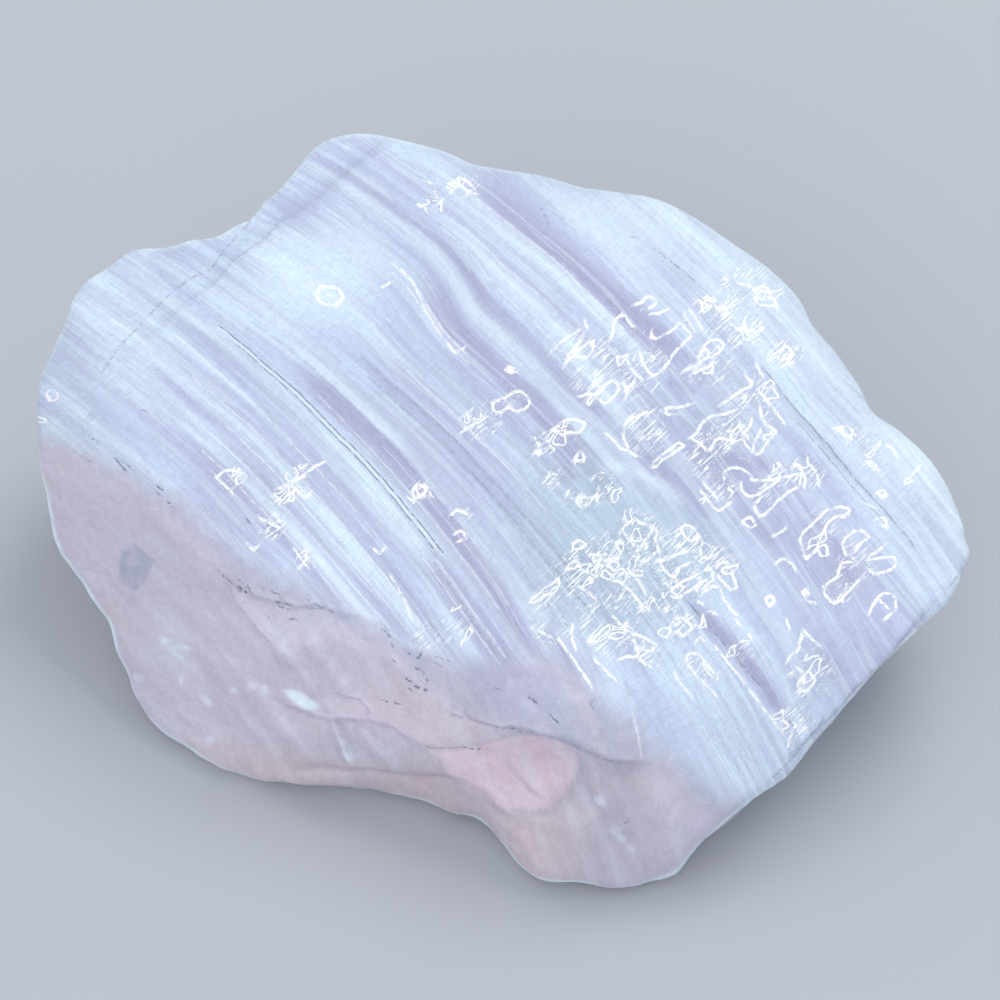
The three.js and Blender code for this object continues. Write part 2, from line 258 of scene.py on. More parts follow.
def surface_points(directions):
    """The surface points on the ways out from the core through the bulk."""
    start = directions * CORE_SIZE + CORE_CENTRE
    way = directions * BULK_SIZE + CORE_CENTRE - start
    way /= np.linalg.norm(way, axis=1)[:, None]
    inside = np.zeros(len(start))
    outside = np.zeros(len(start))
    going = np.arange(len(start))
    while len(going):
        gap = outside_stone(start[going] + way[going] * outside[going, None])
        going, gap = going[gap <= 0], gap[gap <= 0]
        inside[going] = outside[going]
        outside[going] += np.maximum(STEP, -STRIDE * gap)
    for _ in range(HALVINGS):
        middle = (inside + outside) / 2
        within = outside_stone(start + way * middle[:, None]) < 0
        inside[within] = middle[within]
        outside[~within] = middle[~within]
    return start + way * ((inside + outside) / 2)[:, None]


def cube_sphere():
    """A cube cut into squares, for rounding into the stone."""
    bm = bmesh.new()
    bmesh.ops.create_cube(bm, size=2)
    bmesh.ops.subdivide_edges(bm, edges=bm.edges[:], cuts=FACE_CUTS, use_grid_fill=True)
    bm.verts.index_update()
    return bm


def coordinates(bm):
    return np.array([v.co for v in bm.verts])


def move_to(bm, places):
    for vert, place in zip(bm.verts, places):
        vert.co = place
    bm.normal_update()


def unit(rows):
    return rows / np.linalg.norm(rows, axis=1)[:, None]


# The cube's squares are first moved to lie at even angles, and then crowded towards the side that is seen.
bm = cube_sphere()
directions = unit(np.tan(coordinates(bm) * np.pi / 4))
directions = unit(directions + CROWDING * TOWARDS_VIEWER)
places = surface_points(directions)
move_to(bm, places)
facing = np.array([v.normal for v in bm.verts])
viewer = VIEW_CENTRE + VIEW_DISTANCE * TOWARDS_VIEWER
front = smooth((facing * unit(viewer - places)).sum(1), 0.0, GRAZING)

# Where the bands and the other marks lie, as seen in the view.
seen = as_seen(places)
right, up = seen[0], seen[1]
along, across = band_place(seen)
# The bands kink at the upper left, fan out at the lower left, turn at the far right, and waver.
across = across + 2.6 * np.exp(-((across - 10) / 6) ** 2) * smooth(along, -24, -14)
across = across + 0.1 * smooth(-across, -2, 7) * (along + 15)
across = across - 0.12 * smooth(across, 22, 28) * np.maximum(along - 14, 0)
across = across + 0.3 * noise_at(along / 9, across / 4, 301)


def beside(line):
    """How far each place is to the left of a line in the view, along it as a share, and past its end."""
    lengths = np.r_[0, np.cumsum(np.hypot(*np.diff(line, axis=0).T))]
    nearest = np.full(len(right), np.inf)
    signed = np.zeros(len(right))
    share = np.zeros(len(right))
    past = np.zeros(len(right))
    for (ax, ay), (bx, by), so_far in zip(line, line[1:], lengths):
        dx, dy = bx - ax, by - ay
        size = np.hypot(dx, dy)
        t = np.clip(((right - ax) * dx + (up - ay) * dy) / size ** 2, 0, 1)
        gap = np.hypot(right - ax - t * dx, up - ay - t * dy)
        cross = (dx * (up - ay) - dy * (right - ax)) / size
        side = np.where(cross < 0, -1, 1)
        nearer = gap < nearest
        nearest[nearer] = gap[nearer]
        signed[nearer] = (gap * side)[nearer]
        share[nearer] = ((so_far + t * size) / lengths[-1])[nearer]
        past[nearer] = np.sqrt(np.maximum(gap ** 2 - cross ** 2, 0))[nearer]
    return signed, share, past


def tapered(share):
    return smooth(share, 0, 0.2) * smooth(1 - share, 0, 0.2)


# Steps in the walls: height, width, how far the raised left side takes to sink back, and the line.
STEPS = [
    ("lip over the scoop", 1.3, 0.6, 6, [
        (-4.5, -21.3), (-2.3, -21.7), (-0.2, -22.4), (2, -22.8), (4.1, -23.2), (6, -23.8), (7.9, -24.6),
        (10, -25.6), (12, -26.2), (14, -26.3), (15.9, -26.4)]),
    ("crease of the scoop", 0.35, 0.5, 2.5, [
        (4.8, -30.3), (3.4, -29.3), (2.3, -28.3), (1.2, -27.2), (0.5, -26.2), (-0.1, -24.8)]),
    ("fold", 1.3, 0.7, 3, [
        (-27.6, -8.2), (-26.6, -9.3), (-25.5, -10.7), (-24.3, -12.3), (-23.2, -13.6), (-22.3, -14.8),
        (-21.7, -16.2), (-21.4, -17.4)]),
    ("flow", 0.9, 0.9, 4, [
        (-23.5, -19.4), (-21.8, -20.1), (-19.7, -21), (-17.6, -21.6), (-15.5, -21.7), (-14, -21.7),
        (-12, -22.2), (-10.1, -22.8), (-9, -23.8), (-7.5, -24.7), (-5.9, -25.6)]),
    ("crescent", 0.45, 0.4, 1.5, [
        (-16.2, -19), (-14.8, -19.2), (-13.7, -19.6), (-12.9, -20.2), (-12.6, -20.9), (-13.2, -21.5)]),
    ("rim", 0.7, 1, 3, [
        (-24, -27), (-20, -26.8), (-17, -26.8), (-13.4, -27), (-10, -27.5), (-5.2, -27.7), (-2, -29.3),
        (0.6, -31.2), (2.7, -32.6)]),
    ("flake end", 0.35, 0.35, 2.5, [
        (12.4, -17.6), (12.9, -20), (13.1, -22.5), (13.6, -24.5), (14, -25.7)]),
    ("torn edge of the bands", 0.4, 0.4, 2, [
        (-28.4, -7), (-27.2, -8), (-25.5, -8.7), (-23.8, -9.5), (-22, -10.2), (-20, -10.6), (-18, -10.6),
        (-16.2, -11.3), (-14, -11.8), (-12.2, -12.8), (-11, -14), (-9.5, -15), (-8, -15.7),
        (-5.3, -16.2)]),
    ("far edge", 0.5, 0.3, 6, [
        (27.2, -28.3), (30, -24.5), (32.5, -22), (36, -18.3), (40, -14), (43.5, -10), (45.8, -7.2)]),
    ("lens flake", 0.35, 0.4, 4, [
        (24, -6), (20, -1.2), (17, 1.7), (14.5, 2.7), (12.2, 3.3), (10.5, 3.3), (9, 2.5), (7, 0)]),
    ("kink", 0.3, 0.4, 3, [(-4.4, 14.5), (-6, 16.2), (-7.2, 18.2), (-8, 20), (-8.8, 21.5), (-10, 23)]),
    ("apex step", 0.45, 0.4, 4, [
        (-14, 31.8), (-15.5, 31), (-20, 28.5), (-25.5, 26), (-27.8, 23.2), (-28.4, 21.3)]),
]
# Low ridges: height, half width, and the line.
RIDGES = [
    (0.6, 0.8, [(-22.3, -13.2), (-21.8, -13.8), (-20.4, -15.6), (-18.8, -18), (-17.6, -19.6)]),
    (0.45, 0.9, [(-19.9, -12.8), (-19.4, -13.5), (-17.8, -15.2), (-15.8, -18), (-14.9, -19.4)]),
    (0.6, 0.55, [(-17.4, -21), (-16.7, -21.9), (-15.7, -23.8), (-14.8, -25.7), (-13.9, -26.3)]),
    (0.4, 0.8, [(-13.8, -22), (-12.8, -24), (-11, -26)]),
    (0.25, 0.5, [(1.8, -33), (2.5, -34), (3.5, -35.8), (4.5, -37.5)]),
    (0.3, 0.4, [(16.8, -25.8), (17.2, -26.4), (19, -28.8), (20.7, -31.2)]),
    (0.3, 0.5, [(9.2, -27.6), (9.6, -28.5), (10.8, -30.8), (11.8, -33), (13, -34.8)]),
    (-0.5, 0.7, [
        (-25, -26.4), (-19.1, -26.7), (-13.4, -27), (-10, -27.5), (-5.2, -27.8), (-2, -29.4),
        (0.6, -31.3), (2.7, -32.7)]),
    (-0.2, 0.4, [(-10, -22.9), (-8, -24.2), (-6, -24.9), (-4.2, -24.9), (-2, -24.8)]),
    (-0.3, 0.6, [
        (17.5, -9), (19, -10.3), (21.2, -12.8), (23.5, -15.5), (26, -18.5), (28.5, -21.5),
        (29.5, -22.8)]),
    (-0.25, 0.5, [(26, 14), (30, 8.5), (33, 4.5), (37, 0), (40, -4.5), (42.5, -8)]),
]
# Closed shapes in the view, each counter-clockwise.
SCOOP_EDGE = [
    (-5.8, -25), (-4.8, -27.6), (-3, -29.2), (-0.8, -30.2), (1, -30.9), (2.8, -31.1), (4.5, -30.8),
    (5.6, -30.1), (6.5, -29.1), (7.3, -27.8), (7.7, -26.2), (7.4, -24.9), (6, -24.1), (3, -23.5),
    (0, -23.8), (-2, -24.4), (-4.2, -24.9),
]
RHOMB = [
    (-38, -5.3), (-38.2, -6.5), (-38.3, -8.2), (-36.5, -9.2), (-35.7, -8.2), (-35, -7.2), (-34.6, -6.1),
    (-36.7, -4.3),
]
# A painted highlight on a small flake in the wall.
FLAKE_HIGHLIGHT = [(-21.7, -19), (-20, -20.4), (-18.7, -20.9), (-17.8, -20.4), (-19.5, -19), (-20.8, -18.6)]
SCUFF = [(-5.2, -19), (-5, -20.3), (-4, -21.4), (-2.5, -21.9), (-1.9, -21.4), (-3, -20), (-4.5, -18.8)]

relief = np.zeros(len(places))
ragged = 0.25 * noise_at(right / 1.3, up / 1.3, 601) + 0.2 * noise_at(right / 3.1, up / 3.1, 602)
for _, height, width, fade, line in STEPS:
    left, share, _ = beside(curved(line))
    left = left + ragged
    raised = smooth(left, -width / 2, width / 2) * np.exp(-np.maximum(left, 0) / fade)
    relief += height * raised * tapered(share)
for height, width, line in RIDGES:
    left, share, _ = beside(curved(line))
    relief += height * np.exp(-((left + 0.5 * ragged) / width) ** 2) * tapered(share)
in_scoop = front * beside(curved(SCOOP_EDGE, closed=True))[0]
in_rhomb = front * beside(np.array(RHOMB + RHOMB[:1]))[0]
flake_highlight = front * (beside(curved(FLAKE_HIGHLIGHT, closed=True))[0] + 0.5 * ragged)
in_scuff = front * (beside(curved(SCUFF, closed=True))[0] + ragged)
relief -= 0.25 * smooth(in_scoop, -0.3, 0.3)
relief -= 0.15 * smooth(in_rhomb, -0.1, 0.3) * (1 + noise_at(right / 0.9, up / 0.9, 605))
relief -= 0.12 * smooth(in_scuff, -0.2, 0.4) * (1 + noise_at(right / 0.9, up / 0.9, 606))

# Soft white flecks in the walls: right, up, half width, half height and turn.
FLECKS = [
    (-33.5, -14, 0.5, 0.8, 60), (-32, -14.8, 1.4, 0.5, 0), (-32.4, -15.4, 1.3, 0.45, -45),
    (-36.2, -17.8, 0.9, 0.5, -30), (-31.8, -17.9, 0.4, 0.9, 0), (-26.6, -19, 0.7, 0.5, 0),
    (-24.7, -18.5, 0.8, 0.5, 0), (-29.5, -19.9, 1.2, 0.5, -50), (-23.6, -19.1, 0.5, 0.9, 0),
    (-45.3, 5.7, 1.2, 0.5, -35), (10, -30, 0.8, 0.7, -40), (11.4, -32.8, 1, 0.8, 0),
    (12, -33.8, 0.9, 0.6, -50), (13, -34.8, 0.8, 0.5, -40), (-29, -24, 0.8, 0.6, 40),
    (-15, -25, 0.7, 1.6, 25),
]

# The lower edge of the banded break, and the lower edge of the bands themselves: along and across.
TOP_EDGE = [
    (-50, -29), (-36, -25), (-27, -23.3), (-17, -24), (-8, -22.8), (-5, -21.8), (0, -19), (5, -18.3),
    (12.5, -16.8), (19, -12.3), (25.6, -7.8), (30, -4), (36, -1.5), (39, 1), (50, 8),
]
BAND_EDGE = [
    (-50, -29), (-37, -24.6), (-27, -22.8), (-20, -21.5), (-13, -22), (-5, -19.5), (0, -18), (4, -16.5),
    (9.5, -13.5), (13, -9), (16, -5.5), (20, -4.5), (25, -4), (30, -2), (38, 2), (50, 11),
]


def above(edge, softness, seed):
    a, b = band_place(seen)
    line = np.interp(a, *zip(*edge))
    uneven = 0.9 * noise_at(a / 3, b / 3, seed) + 0.5 * noise_at(a / 1.1, b / 1.1, seed + 1)
    return smooth(b - line + uneven, -softness, softness)


BACK_SHARE = 0.35  # how much of the bands' strength shows on the breaks round the back
top = above(TOP_EDGE, 1.6, 310)
banded = above(BAND_EDGE, 2.2, 320) * (BACK_SHARE + (1 - BACK_SHARE) * front)

PALETTE = {
    "white": (0.88, 0.95, 0.99),
    "blue": (0.715, 0.79, 0.86),
    "lavender": (0.745, 0.765, 0.875),
    "plum": (0.68, 0.675, 0.80),
    "lilac": (0.70, 0.715, 0.795),
    "grey": (0.60, 0.65, 0.75),
    "ground": (0.80, 0.86, 0.945),
    "pink": (0.80, 0.76, 0.81),
    "rose": (0.845, 0.765, 0.82),
    "blush": (0.86, 0.81, 0.865),
    "peach": (0.79, 0.72, 0.735),
    "shade": (0.70, 0.675, 0.73),
}


def linear(colour):
    c = np.array(colour, float)
    return np.where(c <= 0.04045, c / 12.92, ((c + 0.055) / 1.055) ** 2.4)


PAINTS = {name: linear(colour) for name, colour in PALETTE.items()}

# Each band: how far across, half its width, its colour, its strength, and where along it starts and ends.
BANDS = [
    (32, 4, "white", 0.4, -50, 50), (25.8, 0.8, "white", 0.6, -30, 12), (22.3, 1.7, "plum", 1, -25, 4),
    (22.5, 2.6, "lavender", 0.7, 2, 45), (20.4, 0.5, "white", 0.7, -28, 0),
    (18.6, 0.9, "lavender", 0.6, -40, 45), (17.2, 0.5, "white", 0.5, -24, 10),
    (15.2, 0.6, "plum", 0.8, -38, 2), (14, 0.7, "white", 0.9, -38, 10), (11.5, 1.5, "plum", 1, -20, 6),
    (8.8, 1.2, "lavender", 0.8, -14, 6), (6, 0.6, "white", 0.5, -14, 30),
    (2.8, 1.2, "lavender", 0.8, -18, 10), (0.5, 1, "lavender", 0.6, -18, 12),
    (-1.2, 0.7, "lavender", 0.8, -16, 12), (-1.6, 0.6, "white", 0.8, -38, -20),
    (-2.7, 0.6, "white", 1, -24, 14), (-4.5, 1.2, "plum", 1, -22, 14), (-7.8, 0.7, "white", 0.9, -38, -1),
    (-7.5, 1.4, "plum", 1, 0, 14), (-9.6, 0.6, "lavender", 0.6, -30, 0),
    (-11.6, 0.6, "lavender", 0.7, -40, 8), (-13, 0.5, "white", 0.6, -40, 6),
    (-14.5, 0.9, "lavender", 0.7, -42, 4), (-16.4, 0.5, "white", 0.6, -38, 2),
    (-18, 1.1, "lavender", 0.8, -40, 0),
]
# Fine lines along the bands: how far across, kind, half width, strength, and the start and end along them.
BAND_LINES = [
    (-6.3, "dark", 0.08, 0.9, -32, 0), (-6.8, "dark", 0.08, 0.8, -30, -1),
    (-6.55, "pale", 0.14, 0.35, -32, 0), (-7.2, "pale", 0.1, 0.45, 0, 12),
    (-8.2, "pale", 0.1, 0.4, -1, 12), (-7.7, "dark", 0.2, 0.35, 0, 11), (-5.1, "pale", 0.1, 0.3, -20, 8),
    (-4.1, "pale", 0.08, 0.25, -12, 12), (-3.5, "dark", 0.15, 0.2, -30, 0),
    (10.5, "pale", 0.14, 0.5, -25, -13), (9.8, "pale", 0.12, 0.4, -24, -12),
    (1.1, "dark", 0.2, 0.25, -20, 12), (0, "dark", 0.2, 0.3, -18, 12), (3.4, "pale", 0.1, 0.3, -16, 4),
    (-10.4, "pale", 0.1, 0.35, -34, -4), (-12.3, "pale", 0.1, 0.4, -30, 4),
    (-13.9, "pale", 0.1, 0.4, -24, 4), (-15.4, "pale", 0.1, 0.4, -28, 2),
    (-17.2, "pale", 0.1, 0.4, -24, -2), (28.5, "dark", 0.09, 0.6, 8, 32),
    (27.7, "dark", 0.09, 0.5, 14, 28), (20.9, "pale", 0.12, 0.35, -26, -4),
    (17.8, "pale", 0.1, 0.3, -24, 6), (16.3, "pale", 0.1, 0.3, -24, 0),
]


def mix(base, name, share):
    share = np.clip(share, 0, 1)[:, None]
    return base * (1 - share) + PAINTS[name] * share


def coat(name):
    """The same colour at every place."""
    return np.tile(PAINTS[name], (len(places), 1))


def spot(at_right, at_up, wide, high, turn=0.0):
    """1 at a place in the view, falling to 0 at an oval round it."""
    c, s = np.cos(np.radians(turn)), np.sin(np.radians(turn))
    x, y = right - at_right, up - at_up
    return front * smooth(-np.hypot((x * c + y * s) / wide, (y * c - x * s) / high), -1, -0.3)


def shaded(base, shades):
    for name, strength, *place in shades:
        base = mix(base, name, strength * spot(*place))
    return base


# Broad shades, of the banded break and then of the walls: colour, strength, and right, up, half width,
# half height and turn.
SHADES = [
    ("blue", 0.8, 11, -4, 17, 13, -20), ("lavender", 1, 18, 5, 10, 8, -30),
    ("lavender", 0.5, -5, 2, 8, 5, -45), ("white", 0.6, -19, 23, 11, 7, 25),
    ("white", 0.4, -38, 17, 9, 9, 30), ("white", 0.5, 12, 28, 10, 4, -20),
    ("lilac", 0.5, 2, -19, 10, 5, -20), ("blue", 0.4, 18, 5, 12, 10, 30),
    ("plum", 0.3, -33, 23.5, 4, 2.5, -45), ("plum", 0.2, -42, 15, 4, 2.5, -50),
    ("lavender", 0.5, -19.5, 29.5, 7, 2.5, 35), ("plum", 0.4, -26, 0, 9, 5, -45),
    ("plum", 0.4, 22, 3, 7, 3, -30), ("lavender", 0.4, 30, 0, 8, 8, -30),
    ("plum", 0.4, 33, -6, 6, 4, -45), ("plum", 0.5, 7, -16, 5, 3, -50),
    ("lavender", 0.5, -27, -4, 10, 5, -45),
]
# The "shade" spots below the flow fold (at -14, -26.5) and under the lip right of the scoop (at 10.5,
# -28.5) are painted shade.
WALL_SHADES = [
    ("blush", 0.35, -27, -13, 7, 5, -30), ("shade", 1, -14, -26.5, 12, 4, -8),
    ("peach", 0.6, -15, -27.5, 13, 2.5, -5), ("blush", 0.6, -13, -18, 15, 7, -30),
    ("shade", 0.8, 10.5, -28.5, 8, 6, -60), ("shade", 0.2, 10, -36, 12, 5, 0),
]
# Soft streaks: colour, strength, half width and line.
STREAKS = [
    ("white", 0.8, 0.9, [(-46, 9), (-43, 6), (-39.5, 3.6), (-35, 1)]),
    ("white", 0.6, 0.6, [(-45.5, 12.5), (-41, 8)]),
    ("plum", 0.9, 0.9, [
        (19, -10), (20.6, -11.8), (22.2, -13.4), (24, -15.4), (25.6, -17.4), (27, -19.4), (28.6, -22.6)]),
    ("white", 0.7, 0.7, [
        (9.4, 2.6), (10.4, 3.3), (12, 3.3), (13.6, 2.8), (15.4, 1.8), (17.4, 0.6), (19.4, -1)]),
    ("plum", 0.7, 0.8, [(13, 5), (15.5, 3.2), (18, 1.4), (20, -0.4), (22, -2.2)]),
    ("white", 0.7, 0.6, [(5, 19), (8, 14.5), (11, 9.5), (14, 5.5)]),
    ("plum", 0.6, 0.8, [(4, -12), (6, -15), (8.4, -18)]),
    ("white", 0.5, 0.5, [(21, -23.5), (22, -25.5), (23.5, -27.5), (24.8, -29.5)]),
    ("plum", 0.6, 0.7, [(-1, 12.4), (1, 11.6), (3.4, 10.6), (5, 8.8)]),
    ("plum", 0.7, 1, [(8, 3), (6.4, 4.6), (7.6, 1.4)]),
    ("plum", 0.7, 0.9, [(23, -1), (26, -3), (28.5, -4.4)]),
    ("plum", 0.7, 0.8, [(22, 4.4), (25, 3.6), (28, 3.9)]),
    ("plum", 0.6, 0.8, [(16.2, 12), (18.4, 11.4), (20, 10.6)]),
    ("plum", 0.6, 0.9, [(33.5, -4), (34, -6), (36, -8.6)]),
]
# Where the bands are faint: right, up, half width, half height, turn and how much they lose.
CALM = [
    (-18, 21, 11, 8, 20, 0.8), (12, 27, 10, 5, -20, 0.6), (11, -2, 9, 5, -30, 0.6),
    (-38, 10, 7, 9, 0, 0.4), (38, 2, 6, 10, -30, 0.6), (24, 22, 6, 6, 0, 0.5), (16, -24, 8, 8, 0, 0.7),
]
stripes = banded.copy()
for *place, loss in CALM:
    stripes *= 1 - loss * spot(*place)

tone = coat("ground")
for centre, half, name, strength, start, end in BANDS:
    share = np.exp(-((across - centre) / half) ** 4) * strength
    share *= smooth(along, start - 3, start + 3) * smooth(-along, -end - 3, -end + 3)
    share *= 1 + 0.7 * noise_at(along / 14, across / 2.5, 330 + int(centre * 2))
    tone = mix(tone, name, share)
streak = noise_at(along / 18, across / 1.7, 401)
tone = mix(tone, "white", 0.6 * streak)
tone = mix(tone, "plum", -0.5 * streak)
tone = shaded(tone, SHADES)
for name, strength, width, line in STREAKS:
    left, share, _ = beside(curved(line))
    tone = mix(tone, name, strength * np.exp(-(left / width) ** 2) * tapered(share) * front)
tone = mix(tone, "white", 0.6 * smooth(across, 29, 34))

wall = shaded(coat("pink"), WALL_SHADES)
wall = mix(wall, "peach", 0.8 * smooth(-(up + 0.1 * right), 25.5, 29.5) * smooth(-right, -12, 0))
wall = mix(wall, "lavender", 0.4 * (0.5 + noise_at(right / 12, up / 12, 410)))
rough = noise_at(right / 1.1, up / 1.1, 411)
drawn = noise_at(along / 8, across / 1.3, 412)
wall = mix(wall, "white", 0.3 * drawn)
wall = mix(wall, "shade", -0.4 * drawn)
lens = smooth(in_scoop, -0.1, 0.2)[:, None]
wall = wall * (1 - lens) + mix(coat("rose"), "white", 0.1 + 0.2 * drawn) * lens
wall = mix(wall, "shade", 0.6 * np.exp(-((in_scoop + 0.45) / 0.35) ** 2) * smooth(-up, 24.5, 27))
wall = mix(wall, "grey", (0.5 + 0.5 * rough) * smooth(in_rhomb, -0.15, 0.2))
wall = mix(wall, "grey", (0.4 + 0.4 * rough) * smooth(in_scuff, -0.2, 0.5))
# Painted highlight on the small flake.
wall = mix(wall, "white", 0.9 * smooth(flake_highlight, -0.1, 0.4))
for fleck in FLECKS:
    wall = mix(wall, "white", (0.4 + 0.5 * rough) * spot(*fleck))
# The torn strip between the bands' lower edge and the walls.
between = mix(coat("lilac"), "pink", 0.3 + 0.6 * drawn)
between = mix(between, "plum", 0.6 * spot(1.5, -18.5, 7, 4, -20))
ground = tone * banded[:, None] + between * (1 - banded[:, None])
colour = ground * top[:, None] + wall * (1 - top[:, None])

# Fine marks: each dark or pale line has a strength and its points, right and up in the view. The pale lines
# are painted glints, where small steps catch the light.
LINE_REACH = 0.6  # millimetres from a line at which its strength starts to fade
SPARKLE_SPREAD = 1.4  # the sparkle fades out over this many times its listed size
# Cracks, and painted shadow lines: under the lip over the scoop, and on the shaded side strip of the far
# edge.
CRACKS_AND_SHADOW_LINES = [
    (0.45, [(-40, 12.5), (-38, 15.5), (-36, 17.5), (-33.4, 20.3), (-31, 22.2), (-29, 23), (-27.6, 25),
            (-25, 27.8)]),
    (0.4, [(44.5, -9.3), (45.6, -7.8), (46.2, -6.8)]),
    (0.5, [(27, -28), (28, -27), (29.5, -25.5), (31, -23.5), (32, -22)]),
    (0.9, [(-35.7, 9), (-35.5, 8.9)]), (0.7, [(-41, 6.4), (-40.4, 5.9)]),
    (0.5, [(-42.4, 4.8), (-40.8, 3.8)]), (0.9, [(-38.4, 4.1), (-37.4, 2.9)]),
    (0.6, [(-37.5, 3.7), (-37, 3.3)]), (0.9, [(-34.4, 1.5), (-33.7, 1)]),
    (0.5, [(-34.2, 0.7), (-33.9, 0.4)]), (1, [(-33.1, -0.3), (-32.8, -0.6)]),
    (0.9, [(-25.3, -1.9), (-24.8, -2.5)]), (0.3, [(-44.3, 0.8), (-43.8, -0.2)]),
    (0.9, [(-28.2, -7.1), (-27.7, -7.6), (-27.1, -8)]), (0.5, [(-27.1, -8), (-25.5, -8.9)]),
    (1, [(-25.9, -8.4), (-25.4, -8.7), (-25, -9)]), (0.7, [(-25.8, -8), (-25.2, -8.4)]),
    (0.7, [(-24.8, -8.5), (-24.4, -9)]), (0.7, [(-23.3, -8.8), (-22, -9.3), (-21.4, -9.9)]),
    (0.9, [(-22, -10), (-20.8, -10.4)]), (0.7, [(-21.9, -10.5), (-21, -10.8)]),
    (0.7, [(-23, -11.2), (-22.6, -11.8)]), (0.8, [(-20.7, -11.7), (-20.3, -11.8)]),
    (0.6, [(-19.1, -10), (-18, -10.6), (-16.5, -11.3)]), (0.5, [(-19, -10.8), (-17.6, -10.9)]),
    (1, [(-11.6, -13.2), (-11, -13.8)]), (0.5, [(-12, -12.5), (-11.2, -13.1)]),
    (1, [(-9.2, -15.3), (-8.6, -15.8), (-8.2, -15.8), (-7.9, -15.5)]),
    (0.6, [(-10.8, -14.5), (-10.4, -15)]), (0.7, [(-10.7, -15.8), (-10.2, -16.3)]),
    (0.8, [(-8.4, -16.8), (-7.9, -17), (-7.2, -18), (-7, -18.1)]), (0.9, [(-9.3, -17.6), (-8.6, -18.1)]),
    (1, [(-8.3, -18.4), (-7.6, -18.8), (-6.8, -18.9)]), (0.8, [(-8.9, -18.6), (-8.6, -18.8)]),
    (0.9, [(-11.7, -19.6), (-10.9, -19.8)]), (0.9, [(-10.3, -19.9), (-9.6, -20.1)]),
    (0.7, [(-6.3, -16.4), (-6, -16.6)]), (0.5, [(-6.8, -15.6), (-5.1, -16.1)]),
    (1, [(2.4, -19.9), (3.2, -20.2), (3.7, -20.7)]), (1, [(4.9, -21.8), (5.3, -22.2), (5.7, -22.5)]),
    (0.5, [(9, -20.5), (9.3, -20.9)]), (0.5, [(9.1, -20.3), (9.5, -20.1)]),
    (0.6, [(-0.5, -19), (-0.1, -19.1)]), (0.9, [(-23.2, -13.4), (-22.6, -14.2), (-21.8, -15.1)]),
    (0.6, [(-22, -15.2), (-21.8, -15.8)]), (0.4, [(-25.5, -10.7), (-24.3, -12.3), (-23.2, -13.6)]),
    (0.8, [(-3.6, -24.7), (-2.8, -24.9), (-2, -24.9)]), (0.4, [(-8, -24), (-6.5, -24.7), (-3.6, -24.7)]),
    (0.7, [(-0.4, -22.5), (2, -22.9), (4.1, -23.3)]), (0.5, [(1.6, -23.1), (3.2, -23.3)]),
    (0.35, [(4.1, -23.3), (6, -23.9), (10, -25.7), (12, -26.3)]), (0.4, [(12, -32.4), (12.8, -32.2)]),
    (0.4, [(-5.2, -21.2), (-3, -21.9), (-1, -22.4)]),
    (0.5, [(13, 26.4), (14, 26.2), (18, 23.2), (20, 21.5), (22, 19.3)]), (0.5, [(4, 29.5), (4.9, 27.6)]),
    (0.6, [(19, -10.3), (21.2, -12.8), (23.5, -15.5), (26, -18.5)]), (0.7, [(28.8, -22), (29.6, -23.2)]),
    (0.7, [(11.2, 13.4), (11.6, 12.9), (12, 12.6)]), (0.6, [(6.4, -8), (8.2, -10.2), (9.6, -11.4)]),
    (0.6, [(-20.6, 22.2), (-19.8, 21.6)]), (0.4, [(8.2, -6), (6.2, -12), (7.5, -13.4)]),
]
